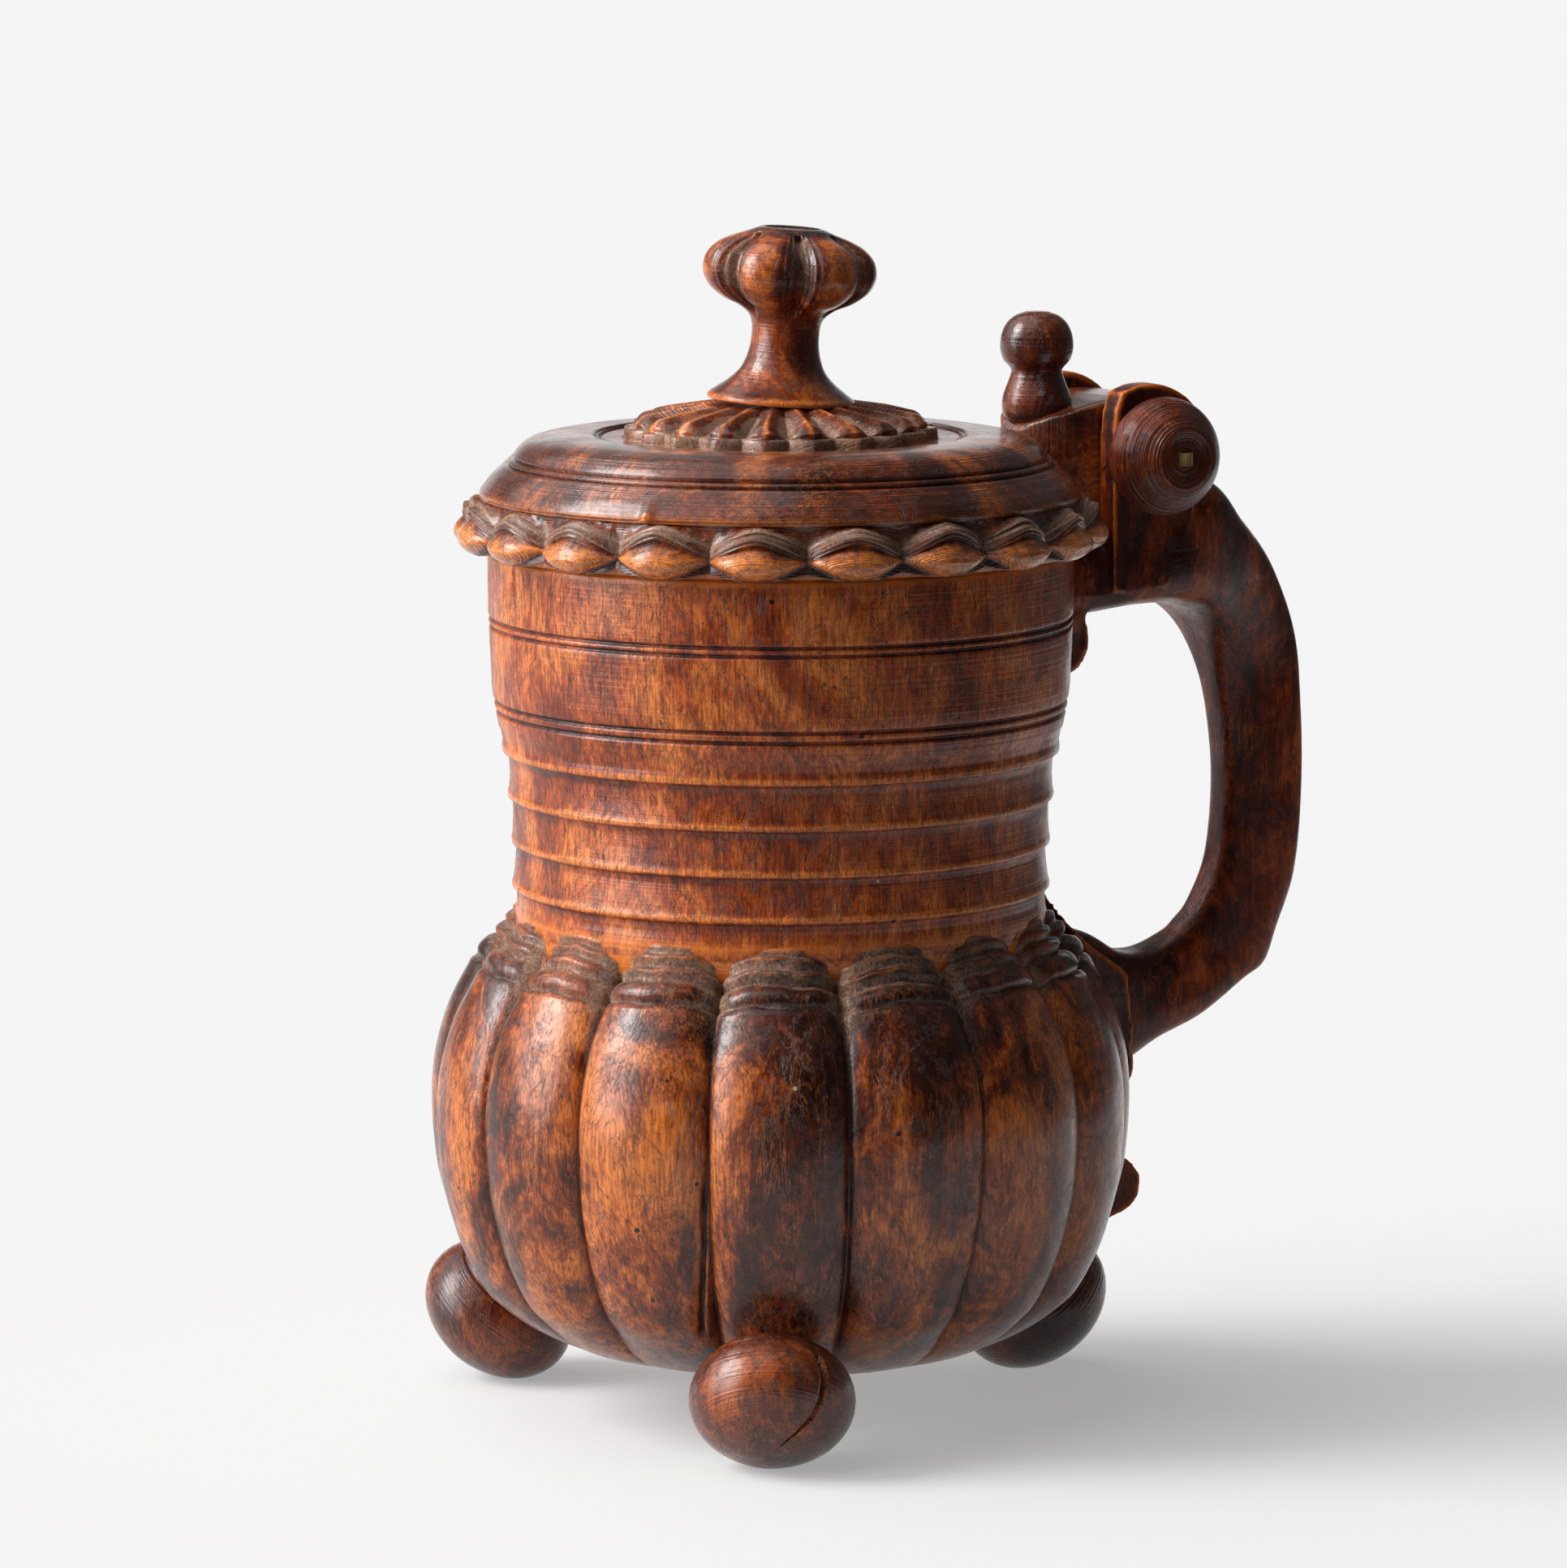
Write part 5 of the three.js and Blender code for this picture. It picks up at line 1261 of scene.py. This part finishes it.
make_belly(vessel_wood)
make_neck(neck_wood)
for index in (1, 2, 3):
    make_foot(index, foot_wood)
make_lid(lid_wood)
make_arm(lid_wood)
make_finial(finial_wood)
make_thumb(finial_wood)
make_knob("front_knob", KNOB, knob_wood, -1, "hinge_knob")
make_knob("pin_head", PIN_HEAD, knob_wood, 1, "hinge_pin")
make_pin(knob_wood)
make_handle(handle_wood)
for name in ("handle_peg_1", "handle_peg_2", "handle_peg_3"):
    frame["nodes"][name].data.materials[0] = finial_wood
frame["nodes"]["knob_peg"].data.materials[0] = pale_wood

# Camera, light and floor

CAMERA_SPOT = (-792.5, -1373.8, 345.6)
CAMERA_TURN = 30 * DEG
CAMERA_PITCH = 7.95 * DEG
scene = bpy.context.scene
level_forward = Vector((math.sin(CAMERA_TURN), math.cos(CAMERA_TURN), 0))
rightward = Vector((math.cos(CAMERA_TURN), -math.sin(CAMERA_TURN), 0))
forward = level_forward * math.cos(CAMERA_PITCH) + Vector((0, 0, -math.sin(CAMERA_PITCH)))
camera_data = bpy.data.cameras.new("camera")
camera_data.lens = 186.43
camera_data.sensor_width = 36
camera_data.sensor_fit = "HORIZONTAL"
camera = bpy.data.objects.new("camera", camera_data)
camera.location = place(np.array(CAMERA_SPOT))
camera.rotation_euler = forward.to_track_quat("-Z", "Y").to_euler()
scene.collection.objects.link(camera)
scene.camera = camera


def add_sun(name, energy, spread, azimuth, elevation):
    """A lamp whose light comes from this azimuth, counted from -y towards +x, and elevation, both in
    degrees. The spread is the angle that it seems to take up."""
    data = bpy.data.lights.new(name, "SUN")
    data.energy = energy
    data.angle = spread * DEG
    a, e = azimuth * DEG, elevation * DEG
    come_from = Vector((math.sin(a) * math.cos(e), -math.cos(a) * math.cos(e), math.sin(e)))
    lamp = bpy.data.objects.new(name, data)
    lamp.rotation_euler = (-come_from).to_track_quat("-Z", "Y").to_euler()
    scene.collection.objects.link(lamp)


add_sun("window", 2.7, 30, -118, 40)
add_sun("softbox", 1.9, 90, -124, 50)
add_sun("side_panel", 2.5, 46, -104, 14)

# The studio is pale behind the tankard, dark behind the camera and a little lighter overhead.
world = bpy.data.worlds.new("studio")
world.use_nodes = True
sky = Graph(world.node_tree)
direction = sky.add("ShaderNodeTexCoord").outputs["Generated"]
dot = sky.add("ShaderNodeVectorMath", {0: direction, 1: forward}, operation="DOT_PRODUCT")
away_from_camera = dot.outputs["Value"]
upward = sky.add("ShaderNodeSeparateXYZ", {0: direction}).outputs[2]
brightness = sky.span(away_from_camera, -0.6, 0.8, 0.03, 0.1)
brightness = sky.math("ADD", brightness, sky.span(away_from_camera, 0.88, 0.97, 0.0, 0.9))
brightness = sky.math("ADD", brightness, sky.span(upward, 0.35, 0.9, 0.0, 0.05))
background = world.node_tree.nodes["Background"]
background.inputs["Color"].default_value = (1, 1, 1, 1)
world.node_tree.links.new(brightness, background.inputs["Strength"])
scene.world = world

# The floor is a pale paper that glows a little where the camera or a reflection sees it. In front
# and at the right it is cut short, so that the wood doesn't reflect it there.
FLOOR_REACH = 20
FLOOR_FRONT = 0.37
FLOOR_RIGHT = 0.4
FLOOR_RIGHT_FAR = 2.8
PAPER = 0.433
PAPER_GLOW = 0.345
near, far = level_forward * -FLOOR_FRONT, level_forward * FLOOR_REACH
corners = [
    near - rightward * FLOOR_REACH, near + rightward * FLOOR_RIGHT,
    far + rightward * FLOOR_RIGHT_FAR, far - rightward * FLOOR_REACH,
]
floor_mesh = bpy.data.meshes.new("floor")
floor_mesh.from_pydata([tuple(corner) for corner in corners], [], [(0, 1, 2, 3)])
floor = bpy.data.objects.new("floor", floor_mesh)
scene.collection.objects.link(floor)
floor_look = bpy.data.materials.new("floor_paper")
floor_look.use_nodes = True
floor_look.node_tree.nodes.clear()
sheet = Graph(floor_look.node_tree)
paths = sheet.add("ShaderNodeLightPath").outputs
seen = sheet.math("MAXIMUM", paths["Is Camera Ray"], paths["Is Glossy Ray"])
seen = sheet.math("MAXIMUM", seen, paths["Is Transmission Ray"])
paper = sheet.add("ShaderNodeBsdfDiffuse", {"Color": (PAPER, PAPER, PAPER, 1)}).outputs[0]
glow = sheet.add("ShaderNodeEmission", {"Strength": sheet.times(seen, PAPER_GLOW)}).outputs[0]
both = sheet.add("ShaderNodeAddShader", {0: paper, 1: glow}).outputs[0]
sheet.add("ShaderNodeOutputMaterial", {"Surface": both})
floor_mesh.materials.append(floor_look)

scene.view_settings.view_transform = "Standard"
